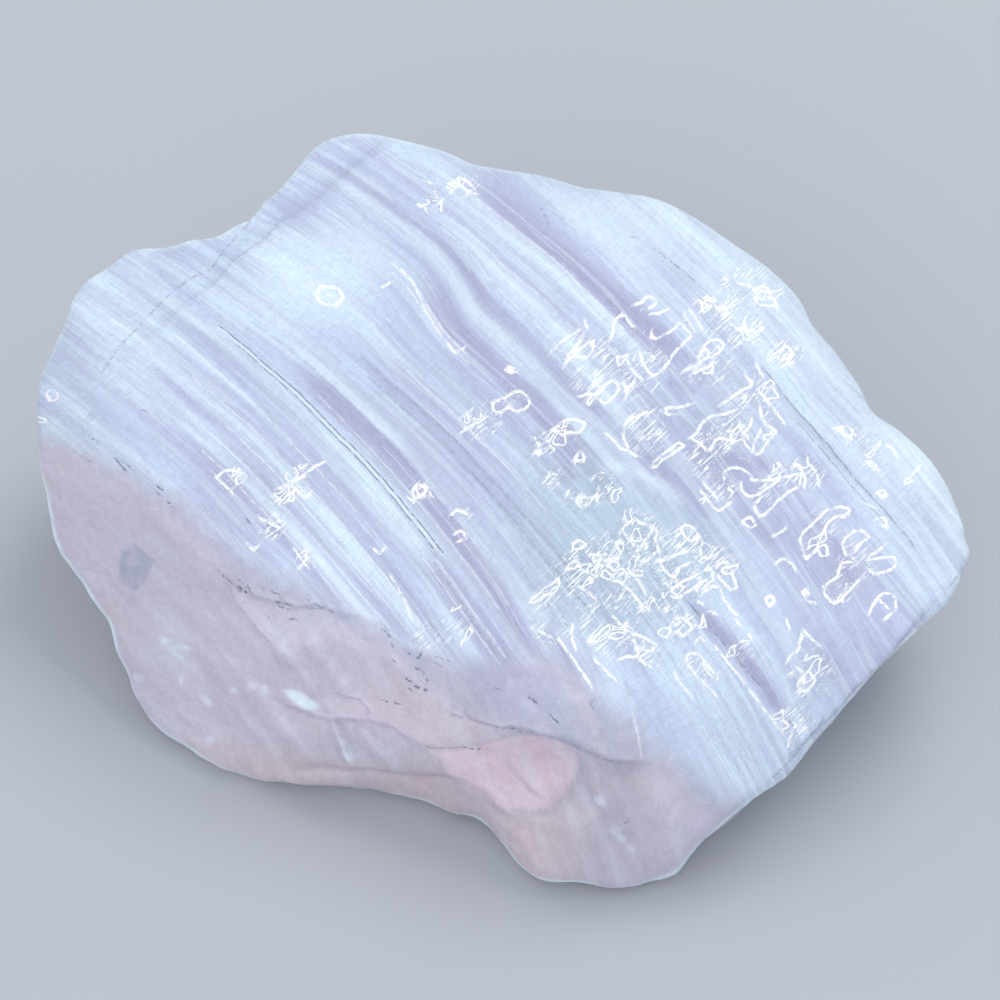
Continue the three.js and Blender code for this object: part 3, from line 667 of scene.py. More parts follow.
# Painted highlights: the glints of small steps, drawn as white lines.
GLINTS = [
    (0.7, [(-10, 23.2), (-9.2, 22.4), (-8.6, 21.6), (-8.1, 20.4), (-7.6, 19.2), (-6.8, 17.9),
           (-5.9, 16.6)]),
    (1, [(-5.3, 15.7), (-4.4, 14.7), (-3.7, 15.2)]),
    (0.9, [(5.1, 14.7), (5.9, 15.6), (6.9, 16.4), (7.8, 17)]),
    (1, [(6.4, 13.3), (6.7, 14), (7, 14.8), (7.7, 15.5), (8.3, 16.5)]),
    (0.9, [(6.6, 13.8), (7.9, 15), (8.8, 15.7)]),
    (1, [(10.9, 15.8), (11.3, 16.8), (11.4, 17.8), (11.8, 18.3), (12.3, 18.7), (12.8, 18), (13.4, 17.2)]),
    (1, [(15.2, 16.8), (15.1, 16.2), (15.7, 16.1), (16.6, 16.6), (17.5, 17.2), (18, 17.8), (18.5, 17.1),
         (19.2, 16.4), (18.6, 15.9), (18, 15.3), (17.3, 14.6), (16.8, 13.6), (16.4, 13.1), (15.4, 12.4),
         (15, 12.6), (14.3, 13.5), (14, 14.7)]),
    (1, [(14.7, 14.7), (15.1, 14.4), (15.4, 14.3)]),
    (0.9, [(12.8, 13.8), (13.1, 13.2), (13.7, 12.5), (14.1, 12.2)]),
    (1, [(13.4, 19.5), (13.7, 19.7), (14.2, 19.7), (14.5, 20.3), (15, 20.4), (15.6, 19.9), (15.5, 19.4),
         (14.9, 19.2)]),
    (1, [(15.2, 18.6), (15.9, 18.7), (16.7, 19)]),
    (1, [(8, 10.4), (8.8, 10.6), (9.1, 11.3), (9.6, 12), (10, 12.1)]),
    (1, [(8.8, 10.6), (9.4, 10.5), (9.8, 10.7), (10.2, 11.1), (10.7, 11.7), (11.3, 12), (11.8, 11.6),
         (11.9, 11), (11.4, 10.4), (10.9, 9.8), (10.4, 9.6), (10, 10)]),
    (0.9, [(12.4, 11.6), (12.8, 11), (12.5, 10.2)]),
    (1, [(0.5, 13), (0.9, 13.4), (1.6, 13), (1.2, 12.7), (0.5, 13)]),
    (1, [(0, 10), (0.8, 10.4), (1.3, 10.8), (2, 10.9), (2.7, 10.4), (3, 9.8), (2.7, 9.2), (2, 8.9),
         (1.4, 8.9), (0.9, 9.4), (0.3, 8.9), (-0.2, 8.6), (-0.7, 9.1), (-0.9, 9.6), (-0.5, 9.9),
         (0, 10)]),
    (1, [(-3.8, 6.8), (-3.2, 7.3), (-2.6, 7.6), (-2, 7.9), (-1.4, 8.3)]),
    (0.6, [(-4, 8.2), (-3.2, 8.8), (-2.6, 9.2)]),
    (1, [(5, 6.9), (5.6, 7.2), (6.2, 7.8), (7, 8.1), (7.8, 8), (8.6, 7.7), (8.2, 7), (7.6, 6.6),
         (6.8, 6.8), (6.3, 6.4), (5.7, 6.9), (5, 6.9)]),
    (1, [(14.7, 8.8), (14, 8.5), (13.2, 8.1), (12.5, 7.6), (12.3, 7), (12.4, 6), (12.9, 5.2)]),
    (1, [(10.7, 6.6), (11.4, 6), (11.9, 5.3), (13, 4.8), (13.7, 4.4)]),
    (0.8, [(14.4, 6), (15.2, 6.3), (16, 6.7)]),
    (1, [(18.3, 5.3), (17.5, 4.8), (16.7, 4.3), (16, 3.8), (15.5, 3.2), (15.2, 3.3), (15.3, 3.7),
         (16, 4.3), (16.7, 4.9), (17.4, 5.4), (18, 5.8), (18.4, 5.4)]),
    (0.9, [(19, 6.2), (19.7, 6.7), (19.9, 7.3), (20.4, 7.9), (21, 8.3), (21.8, 8.5), (22.7, 8.7),
           (23.5, 9)]),
    (1, [(19, 6.2), (19.7, 5.9), (20.4, 5.3), (20.9, 4.6), (21.2, 5.3), (21.5, 6), (22.2, 6.3), (22.7, 6),
         (23.3, 5.7), (23, 6.4), (23.6, 7.2)]),
    (0.9, [(19.2, 9.6), (17.8, 9.2), (17, 9.3), (16.2, 9), (16.8, 8.6), (17.5, 8.5)]),
    (1, [(22, 9.5), (22.8, 10), (23.6, 10.6), (24.4, 11.1), (25, 11.3), (25.4, 11.7), (24.8, 12.1),
         (24.5, 12.6)]),
    (1, [(25.8, 11), (26.4, 10.3), (26.9, 9.7), (27.5, 9), (28, 8.3), (28.4, 7.8)]),
    (1, [(25.2, 8), (25, 7.4), (24.6, 6.9), (24.2, 6.3), (24.8, 5.3), (25.2, 4.8), (25.6, 4.5),
         (26.2, 4.8), (26.5, 5.4), (26.8, 6), (27.3, 6.3), (27.6, 6.8), (27.2, 7.2), (26.6, 7.5),
         (26.2, 8.2), (26, 9.1)]),
    (1, [(25.3, 5), (25.4, 5.7), (25.8, 6.4), (26.1, 7)]),
    (1, [(20.3, 15.1), (19.9, 14.4), (19.8, 13.8), (20.6, 14.2), (21.1, 14.5), (20.8, 15), (20.3, 15.1)]),
    (1, [(20.4, 15.4), (20.8, 15.9), (21.4, 16.1), (22, 16), (22.4, 15.5), (22.1, 14.8), (21.5, 14.5)]),
    (0.8, [(18.2, 12.8), (19, 13.3), (19.8, 13.7)]),
    (0.9, [(19, 12.5), (20, 13), (21, 13.4), (21.6, 13.8)]),
    (0.8, [(25.6, 13.8), (25.9, 13), (26.3, 12.4)]), (0.9, [(19, 19), (19.5, 18.3), (20.2, 17.2)]),
    (0.6, [(18.4, 18.6), (19, 17.6), (19.6, 16.8)]),
    (0.9, [(21.1, 20), (21.5, 19.4), (22.1, 19.1), (23.6, 19.5)]),
    (1, [(27, 14.2), (27.6, 14.7), (28.1, 15), (28.6, 15.5), (29, 15), (29.4, 14.6), (29, 14.1),
         (28.4, 13.9)]),
    (1, [(25.5, 21), (26, 21.4), (26.6, 21.3), (27, 20.7), (27.4, 20), (27.8, 19.4), (26.7, 19.4),
         (26, 19.5), (25.5, 20.1), (25.5, 21)]),
    (0.9, [(24, 21.7), (24.7, 21.5), (25.2, 21.2)]),
    (0.9, [(23, 17.6), (23.8, 17), (24.6, 17.4), (24.8, 16.6)]),
    (1, [(24, 7.6), (24.1, 6.9), (24.8, 6.3)]),
    (1, [(3.4, 4.8), (3.8, 5.1), (4.2, 4.8), (3.9, 4.4), (3.4, 4.8)]),
    (1, [(22.4, 2.2), (22.4, 2.8), (23, 3.2), (23.8, 3.3), (24.5, 2.9), (25, 2.5), (25.2, 2), (26.2, 1.9),
         (27.5, 2.1), (28.5, 2.3), (29.8, 2.6)]),
    (1, [(24.1, 1.6), (24.2, 1), (24.6, 0.5), (25.2, 0.3), (26, 0.7), (27, 1.4), (28, 2.1)]),
    (1, [(29.8, 1.3), (29, 0.9), (28, 0.1), (27.2, -0.7), (26.6, -1.4), (26.2, -1.8), (25.7, -1.3),
         (25.4, -0.7), (25.7, -0.1), (26.4, 0.4)]),
    (0.9, [(20.2, 0.8), (20.8, 0), (21.3, -0.7), (21.8, -1.1), (22.4, -0.8), (23, -0.3)]),
    (0.8, [(20.2, 1.8), (21, 1), (21.7, 0.2)]), (0.8, [(27.2, -3.6), (27.9, -3.3), (28.6, -2.8)]),
    (1, [(24.2, -2.2), (24.6, -1.8), (25, -1.6), (25.6, -2.5), (25, -2.8), (24.2, -2.2)]),
    (1, [(34.8, -0.8), (34, -0.7), (33.2, -0.8), (32.5, -1.1), (32, -1.7), (31.2, -2.5), (30.2, -3.4),
         (30, -4), (30.2, -4.8), (30.5, -6), (31.2, -5.5), (31.7, -4.8), (31.9, -4), (32.4, -3),
         (32.9, -2.1), (33.6, -1.6), (34.5, -1.7), (35.1, -1.3), (34.8, -0.8)]),
    (1, [(35.5, -5.2), (35.8, -4.6), (36.2, -4.1), (36.8, -4), (36.9, -3.7), (36.5, -3.3), (36, -2.9),
         (35.5, -3.1), (34.8, -3.6), (34.3, -4.1), (34.3, -4.8), (34.6, -5.6), (35.3, -5.9)]),
    (0.9, [(38.4, -4.5), (38, -5), (37.4, -5.4), (36.8, -5.7)]),
    (1, [(36.6, -6.1), (37.5, -5.9), (38.5, -5.8), (39.4, -5.7), (39.6, -6.3), (39.3, -7), (38.3, -7.3),
         (37.3, -7.5), (36.9, -7.1)]),
    (1, [(35.2, -6.2), (34.2, -6.3), (33.9, -7), (33.7, -7.8), (32.9, -8.3), (32.3, -8.7), (32.4, -9.3),
         (32.8, -9.9), (33.5, -10.5), (34, -10.1), (34.6, -9.4), (35.2, -8.8), (35.8, -8.1),
         (36.4, -7.6)]),
    (1, [(36.9, -11.3), (37.2, -10.6), (37.7, -9.9), (38.2, -9.4), (38.8, -9.3), (39.4, -9.7),
         (39.6, -10.3), (39.6, -11), (39, -11.6), (38.4, -12)]),
    (1, [(38, -10.2), (38.7, -10.8)]),
    (1, [(33.6, 7.2), (34.5, 7.4), (35.3, 7), (35, 6), (34.3, 6.6), (33.7, 7.2)]),
    (0.8, [(38.5, 5.5), (39, 5.5), (39.7, 4.5)]),
    (1, [(36.7, 3.8), (37.2, 3.8), (38.2, 2.8), (37.4, 3), (36.7, 3.8)]),
    (0.9, [(41, 2.4), (41.5, 2.8), (42.1, 3.5)]),
    (1, [(37.7, 0.8), (38.3, 1), (38.8, 0.5), (38.2, 0), (37.7, 0.8)]),
    (1, [(37.6, -2), (38.2, -1.6), (38.7, -2), (38.9, -2.9), (38.1, -2.5)]),
    (0.7, [(36.4, -0.3), (37.4, -0.6)]),
    (0.9, [(27.6, -6.3), (28.2, -5.8), (28.7, -6), (29.3, -6.5), (29.6, -7)]),
    (1, [(31, -10.2), (31.5, -10.3)]),
    (1, [(30.2, -9.2), (30.6, -8.8), (30.9, -9.4), (30.6, -9.8), (30.2, -9.2)]),
    (1, [(26.5, -10), (26.9, -9.6), (27.4, -9.8), (27.4, -10.4), (26.9, -10.7), (26.5, -10)]),
    (0.9, [(29.5, 3.4), (30.2, 3), (30.6, 2.2), (30.4, 1.4)]),
    (0.9, [(30.8, 3.7), (31.3, 3.2), (31.8, 2.4), (31.9, 1.6)]),
    (1, [(7.4, 4), (7.8, 4.6), (8.1, 4.9), (8.5, 4.2), (8.3, 3.8), (7.4, 4)]),
    (0.8, [(4.7, 2.2), (5, 2.8), (5.6, 2.5)]),
    (0.8, [(7.6, -0.2), (7.8, 0.3), (8.4, 0.4), (8.8, 0.1), (8.7, -0.5), (8.2, -0.8), (7.6, -0.2)]),
    (0.9, [(12, -3.3), (12.6, -2.5), (13.4, -1.9), (14, -2.3), (14.8, -2.6), (15.4, -2.8), (15, -3.4),
           (14.5, -4.1), (14, -4.9), (13.6, -5.3)]),
    (0.8, [(12.2, -3.1), (12.8, -3.8), (13.4, -4.5)]),
    (0.9, [(15.7, -3.2), (15.5, -4), (15.9, -5.1), (16, -6)]),
    (0.9, [(14, -6.6), (14.8, -6), (15.5, -5.3)]),
    (1, [(20.4, -7.1), (20.8, -6.7), (21.2, -7), (21.3, -7.7)]),
    (1, [(18, -2.9), (18.6, -2.5), (19.2, -2.8), (19.6, -3.3), (20, -3.8), (19.7, -4), (19, -4.2),
         (18.5, -3.8), (18, -2.9)]),
    (1, [(20.3, -4.3), (21, -4.7), (21.2, -5.3), (20.9, -5.9), (20.2, -5.8), (20, -5.2), (20.3, -4.3)]),
    (1, [(16, -6.2), (16.8, -5.8), (17.4, -5.6), (18.2, -5.3), (19, -5.1)]),
    (1, [(16.1, -6.5), (16.6, -7.2), (17.2, -7.7), (17.8, -7.6), (17.6, -7), (18.3, -6.6), (19, -6.3)]),
    (1, [(17.2, -9), (17.8, -8.4), (18.6, -8), (19.3, -7.7), (19.8, -7.4)]),
    (1, [(17.2, -9.7), (17.8, -9.8), (18.4, -9.4), (19.2, -8.9), (20, -8.4), (20.6, -8)]),
    (1, [(21.7, -7.5), (22.2, -8), (22.7, -8.6), (23.1, -9), (23.7, -8.8), (23.5, -8.2), (23.2, -7.4),
         (23.1, -6.6), (22.6, -6.2), (22, -6.4), (21.6, -6.8)]),
    (1, [(20.2, -9.5), (20.6, -8.9), (21.3, -8.6), (22, -8.8), (22.2, -9.7), (22.7, -10.4), (23.1, -11),
         (23.7, -11.5)]),
    (1, [(19.7, -10.1), (20.2, -10.4)]), (1, [(21, -11.2), (21.6, -11.4)]),
    (1, [(23.6, -12.1), (24, -12.5)]), (0.9, [(11.9, -8.1), (12.8, -9), (13.6, -9.8), (14.2, -10.6)]),
    (1, [(24.9, -13.5), (25.1, -13.8)]),
    (0.8, [(12, -7.4), (13, -7.2), (13.6, -7.8), (14.2, -8.7), (14.6, -9.4)]),
    (1, [(28.7, -12.1), (28.9, -12.8)]),
    (0.9, [(9.6, -7.6), (9.7, -6.6), (10, -6), (10.7, -6.1), (11.4, -6.1)]),
    (0.8, [(8, -8.7), (9, -9.4), (9.6, -10)]),
    (1, [(11.4, -11.8), (11.9, -12.4), (12.6, -13.1), (13.4, -13.5), (14.2, -13.7), (15, -14.1),
         (15.6, -14.5), (15.2, -15.2), (14.5, -15.1)]),
    (1, [(13.4, -14.1), (13.7, -15), (13.8, -15.6), (13.2, -15.8), (12.6, -15.7), (12, -16)]),
    (0.9, [(13.9, -15.9), (14.4, -16.3), (15.1, -16.7)]),
    (1, [(9.4, -16), (10, -16.6), (11.1, -17.8), (11.5, -18.1)]),
    (1, [(7.3, -12.6), (7.1, -13.4), (7.3, -14.2), (7.6, -15)]),
    (0.9, [(4, -13.2), (4.6, -13.6), (5.2, -13.9)]),
    (1, [(5.9, -14), (6.6, -15), (7.3, -16), (8.1, -17.3), (8.7, -18.1), (9.1, -18.8)]),
    (1, [(16.9, -13), (17.2, -12.3), (17.7, -11.8), (18.3, -11.8), (19, -12.4), (19.3, -12.8),
         (18.7, -13.3), (18.3, -13.7), (17.6, -13.2)]),
    (0.8, [(19.6, -14.2), (20, -13.7), (20.4, -14.1)]),
    (0.9, [(20.2, -16.2), (20.6, -17), (21.1, -17.7)]),
    (1, [(18.6, -16.1), (18.7, -15.5), (19.2, -15.3), (19.8, -15.4), (20.3, -16), (20.9, -16.7),
         (21.4, -17.3)]),
    (0.8, [(18.8, -16.5), (19.5, -17.4), (20.3, -18.2), (21.1, -19), (21.6, -19.6)]),
    (1, [(21.5, -14.6), (22.2, -15.5), (23, -16.5), (23.8, -17.5), (24.4, -18.3)]),
    (0.9, [(25, -19.1), (25.8, -20.1), (26.6, -21.2), (27.4, -22.2), (28.1, -23.2)]),
    (1, [(28.7, -24.5), (28.9, -23.8), (29.1, -23.1), (29.5, -22.4)]),
    (0.7, [(17.4, -17.4), (18, -18.3), (19.2, -19.7)]),
    (1, [(28.7, -16.1), (29, -15.6), (29.7, -15.2), (29.9, -14.5), (30.3, -12.9), (30.9, -13.7),
         (31.5, -14.3), (32, -14.6)]),
    (1, [(29.7, -16.8), (30.3, -17.4), (29.8, -18.3), (30, -19.2), (30.8, -19), (31.4, -18),
         (30.9, -17.2)]),
    (1, [(-18.4, 20.3), (-18, 21.4), (-16.2, 21.2), (-15.6, 20.2), (-16.3, 19.4), (-17.9, 19.6),
         (-18.4, 20.3)]),
    (0.8, [(-17.6, 20.7), (-16.6, 20.2)]), (0.9, [(-28.4, 2.3), (-27.4, 3), (-26.3, 3), (-25.6, 2.6)]),
    (0.8, [(-28.4, 2.3), (-27.5, 1.4), (-26.8, 0.8)]),
    (0.9, [(-22.5, 1), (-20.5, 1.8), (-18.5, 3.4), (-17.6, 3.8)]),
    (0.8, [(-20.8, 1.4), (-19.5, 0.2), (-18.9, 0.8)]), (0.9, [(-24, -1.8), (-22.8, -2.4), (-22, -2.8)]),
    (0.9, [(-23.4, -2.2), (-22.6, -1.4), (-22.1, -2)]),
    (0.9, [(-20.5, -5), (-19.8, -6.1), (-19.2, -6.8)]),
    (0.8, [(-25.2, -4.4), (-24.6, -5.1), (-24.2, -4.6)]),
    (1, [(-8.8, 1), (-8.2, 1.6), (-7.3, 1.2), (-7.6, 0.3), (-8.6, 0.2), (-8.8, 1)]),
    (0.8, [(-7.3, 1.2), (-6.8, 0.4)]), (0.9, [(-4.9, -1.5), (-4.3, -0.9), (-3.4, -1.3)]),
    (0.9, [(-4.6, -3.4), (-3.8, -3), (-3.3, -3.8), (-4.2, -4.2)]),
    (0.9, [(-12.7, -4.8), (-12, -5.4), (-11.6, -4.9)]), (0.9, [(-11.7, 21.3), (-10.9, 21.8)]),
    (1, [(-4.8, 32), (-3.8, 31.4), (-3, 30.8), (-2.5, 30.6)]),
    (0.9, [(-4.3, 32.4), (-3.2, 31.9), (-2.6, 31.2)]), (0.9, [(-7.4, 31.9), (-6.8, 31.6)]),
    (1, [(-6.2, 29.6), (-5.8, 29.9)]), (0.9, [(-7.6, 29.4), (-7.2, 28.9)]),
    (1, [(8.5, 17.9), (8.7, 17.3)]), (0.7, [(-11, -7.4), (-9.5, -10), (-8.8, -12)]),
    (0.3, [(13.1, -21.5), (13.7, -24), (14, -25.5)]),
]
# Where the surface is full of small steps with painted glints: right, up, half width, half height, turn and
# strength.
SPARKLE = [
    (7.3, 15.3, 2.6, 2.2, 45, 0.5), (10.5, 13, 4, 3, 45, 0.8), (13, 12, 3, 2, 30, 0.7),
    (15.5, 14, 1.5, 1.5, 0, 0.5), (22.5, 18, 4, 2.6, -45, 0.8), (24.5, 17, 2.4, 1.6, 0, 1),
    (24, 21.5, 3, 2, 30, 0.7), (26.5, 20.5, 2, 1.6, 0, 0.6), (28.5, 14.7, 2, 1.4, 0, 1),
    (21, 13, 3, 2, 30, 0.6), (25.5, 10, 3, 3, 45, 0.6), (22, 6.5, 3, 2.4, 30, 0.8),
    (14.5, 7, 3, 2.4, 20, 0.8), (7, 7, 2.4, 1.4, 30, 0.4), (-1.5, 8, 3.4, 1.6, 35, 0.7),
    (1, 9.7, 2, 1.4, 30, 0.4), (20.3, 3.8, 2.4, 2, 45, 0.8), (22, 1, 2, 2, 45, 0.6),
    (27.5, 1.4, 3, 1.6, 30, 0.5), (30.6, 2.8, 2, 1.6, 0, 1), (32, -3, 3, 2, 45, 0.5),
    (35.5, -6, 2.6, 2.6, 30, 0.5), (34, -9, 2, 1.6, 45, 0.8), (19, -6, 4.5, 3.6, 0, 0.9),
    (13.5, -4, 3, 2.6, 30, 1), (9.5, -6.5, 5, 2.6, 25, 1.3), (12, -8, 3, 2.6, -40, 0.9),
    (8, -11, 4, 2.6, 30, 1.1), (11, -13, 3.6, 2.4, -40, 1.2), (14, -15, 2.4, 1.4, -20, 0.9),
    (18.5, -12.8, 2.4, 1.8, 0, 0.7), (15.5, -11, 3, 1.6, 30, 0.8), (20, -17, 2.2, 1.6, -45, 0.5),
    (31, -17.5, 2.4, 2.6, 0, 1), (29.5, -22, 2, 2, 45, 0.6), (24.6, -15, 2, 1.4, 0, 0.4),
    (10.3, 1.2, 1.4, 1.6, 0, 1), (8.2, -0.2, 1.8, 1.4, 0, 0.8), (5, 2.2, 1.4, 1.2, 0, 0.9),
    (4.2, 6, 1.4, 1, -40, 0.8), (5, -10.5, 2, 2, 0, 0.7), (4.6, -13, 2, 1.4, -40, 0.9),
    (-4, -12.5, 1.6, 2, 0, 0.4), (-6.5, -13.5, 3, 1.8, 20, 0.5), (-21, 1, 2.6, 1, 35, 0.9),
    (-20.4, 2.4, 2.4, 1, 35, 0.6), (-22.6, -2.6, 1.8, 1.4, 0, 0.9), (-26.8, 2, 1.6, 1.4, 0, 0.5),
    (-19.6, -6, 1.2, 1.6, 0, 0.5), (-8, 0.8, 1.2, 1.2, 0, 0.7), (-3.8, -1.3, 1.2, 0.8, 0, 0.6),
    (-44.5, 8.5, 1.4, 2.4, 30, 0.35), (-42, 7.6, 2.4, 1.6, 0, 0.35), (-3.6, 31.4, 2, 1.4, 0, 0.5),
    (-6.8, 29.3, 1.6, 0.8, 0, 0.5), (36.5, 6, 2.4, 1.4, -40, 0.4), (42, 0, 3, 3, -40, 0.25),
]


def clearance(line, others):
    """How near a line comes to the others."""
    return min([np.hypot(*(line[:, None] - other[None]).T).min() for other in others], default=np.inf)


# The fine lines are shared out over layers, so that close ones are mostly in different layers.
LAYERS = {"pale": 4, "dark": 2}
readings = {}
for kind, drawn in (("dark", CRACKS_AND_SHADOW_LINES), ("pale", GLINTS)):
    layers = [[] for _ in range(LAYERS[kind])]
    distances = [np.full(len(places), np.inf) for _ in layers]
    strengths = [np.zeros(len(places)) for _ in layers]
    for strength, line in drawn:
        line = np.array(line, float)
        room = [min(clearance(line, layer), 3 * LINE_REACH) for layer in layers]
        chosen = room.index(max(room))
        layers[chosen].append(line)
        signed, _, past = beside(line)
        nearer = np.abs(signed) < np.abs(distances[chosen])
        distances[chosen][nearer] = signed[nearer]
        near = strength * front * smooth(-np.abs(signed), -2 * LINE_REACH, -LINE_REACH)
        near *= smooth(-past, -0.5, -0.05)
        strengths[chosen][nearer] = near[nearer]
    for i in range(len(layers)):
        readings[f"{kind}_beside_{i}"] = np.clip(distances[i], -2 * LINE_REACH, 2 * LINE_REACH)
        readings[f"{kind}_near_{i}"] = strengths[i]
sparkle = np.zeros(len(places))
for at_right, at_up, wide, high, turn, strength in SPARKLE:
    place = (at_right, at_up, wide * SPARKLE_SPREAD, high * SPARKLE_SPREAD, turn)
    sparkle = np.maximum(sparkle, strength * spot(*place))
sparkle *= front

# Painted highlight: the rim along the outline is painted white, as light through the thin edge, but for a
# stretch at the front.
rim = front * smooth(outside_outline(seen), -0.5, -0.1) * (1 - spot(-16, -27, 16, 4))
colour = mix(colour, "white", 0.95 * rim)

# The fine relief: fibres on the banded break, low swells on the walls, and chips in the breaks at the back.
CHIP_DEPTH = 0.9
relief *= front
relief += 0.12 * noise_at(along / 18, across / 1.7, 501) * stripes
relief += (0.25 * noise(places / 4.5, 511) + 0.1 * noise(places / 1.8, 510)) * (1 - banded)
relief += 0.2 * noise_at(along / 11, across / 2.4, 512) * (1 - top) * front
chipped = np.abs(noise(places / 9, 513)) + 0.5 * np.abs(noise(places / 3.5, 514))
relief -= CHIP_DEPTH * chipped * (1 - front) * smooth(places[:, 2], 1, 6)
places = places + facing * relief[:, None]
move_to(bm, (places - MIDDLE) * MM)

# What the material reads, and then what lies below the table is cut off, as in the CAD.
readings.update(along=along, across=across, banded=banded, stripes=stripes, sparkle=sparkle)
for name, values in readings.items():
    layer = bm.verts.layers.float.new(name)
    for vert, value in zip(bm.verts, values):
        vert[layer] = value
layer = bm.verts.layers.float_color.new("tone")
for vert, value in zip(bm.verts, colour):
    vert[layer] = (*value, 1)
geometry = bm.verts[:] + bm.edges[:] + bm.faces[:]
bmesh.ops.bisect_plane(bm, geom=geometry, plane_co=(0, 0, 0), plane_no=(0, 0, 1), clear_inner=True)
open_edges = [edge for edge in bm.edges if edge.is_boundary]
bmesh.ops.holes_fill(bm, edges=open_edges, sides=0)
bmesh.ops.triangulate(bm, faces=[face for face in bm.faces if len(face.verts) > 4])
for face in bm.faces:
    face.smooth = True


def placed(name, bm):
    mesh = bpy.data.meshes.new(name)
    bm.to_mesh(mesh)
    bm.free()
    made = bpy.data.objects.new(name, mesh)
    bpy.context.scene.collection.objects.link(made)
    return made


stone = placed("stone", bm)


def node(tree, kind, inputs=(), **settings):
    made = tree.nodes.new(kind)
    for key, value in settings.items():
        setattr(made, key, value)
    for key, value in dict(inputs).items():
        if isinstance(value, bpy.types.NodeSocket):
            tree.links.new(value, made.inputs[key])
        else:
            made.inputs[key].default_value = value
    return made


class Sums:
    """Short names for the arithmetic in one material."""

    def __init__(self, tree):
        self.tree = tree

    def reading(self, name):
        return node(self.tree, "ShaderNodeAttribute", attribute_name=name).outputs["Fac"]

    def do(self, operation, *values):
        return node(self.tree, "ShaderNodeMath", dict(enumerate(values)), operation=operation).outputs[0]

    def product(self, *values):
        result = values[0]
        for value in values[1:]:
            result = self.do("MULTIPLY", result, value)
        return result

    def ramp(self, value, start, end, low=0.0, high=1.0):
        """Smoothly from low to high as the value goes from start to end, whichever is larger."""
        inputs = {"Value": value, "From Min": start, "From Max": end, "To Min": low, "To Max": high}
        made = node(self.tree, "ShaderNodeMapRange", inputs, interpolation_type="SMOOTHSTEP")
        return made.outputs["Result"]

    def place(self, x, y):
        return node(self.tree, "ShaderNodeCombineXYZ", {"X": x, "Y": y}).outputs[0]

    def noise(self, x, y, detail=2.0, roughness=0.5):
        inputs = {"Vector": self.place(x, y), "Scale": 1.0, "Detail": detail, "Roughness": roughness}
        return node(self.tree, "ShaderNodeTexNoise", inputs, noise_dimensions="2D").outputs["Fac"]

    def blend(self, share, below, above):
        inputs = {"Factor": share, 6: below, 7: above}
        return node(self.tree, "ShaderNodeMix", inputs, data_type="RGBA").outputs[2]


# The small steps are facets in the cells of a net, with one cell to each millimetre along the bands; their
# glints are painted as bright lines.
FACET_HEIGHT = 1.7  # millimetres of a cell across the bands
FACET_WARP = (0.8, 0.35, 0.0)
FACET_SHARE = 0.26  # of the cells that have one, where the sparkle is full
FACET_INSET = 0.15  # of the bright line from the cell's edge, in cells
FACET_LINE = 0.1

# Colours, glow and polish of the calcite.
BAND_SHADE = (0.42, 0.44, 0.62, 1)
SUNK_SHADE = (0.42, 0.45, 0.62, 1)
RAISED_SHADE = (0.74, 0.86, 0.94, 1)
# Colour of the cracks, the dark band lines and the painted shadow lines.
DARK_AND_SHADOW_LINE_COLOUR = (0.10, 0.12, 0.20, 1)
# White of the painted glints, and of the pale lines along the bands.
GLINT_AND_PALE_LINE_WHITE = (1.0, 1.0, 1.0, 1)
GLOW_SHARE = 0.3
GLOW_RADII = (1.0, 0.9, 1.0)
GLOW_DEPTH = 0.002
CALCITE_IOR = 1.55
GRAIN_SCALE = 5200.0  # grains of the noise to a metre
WALL_ROUGHNESS = 0.36
BAND_ROUGHNESS = 0.5


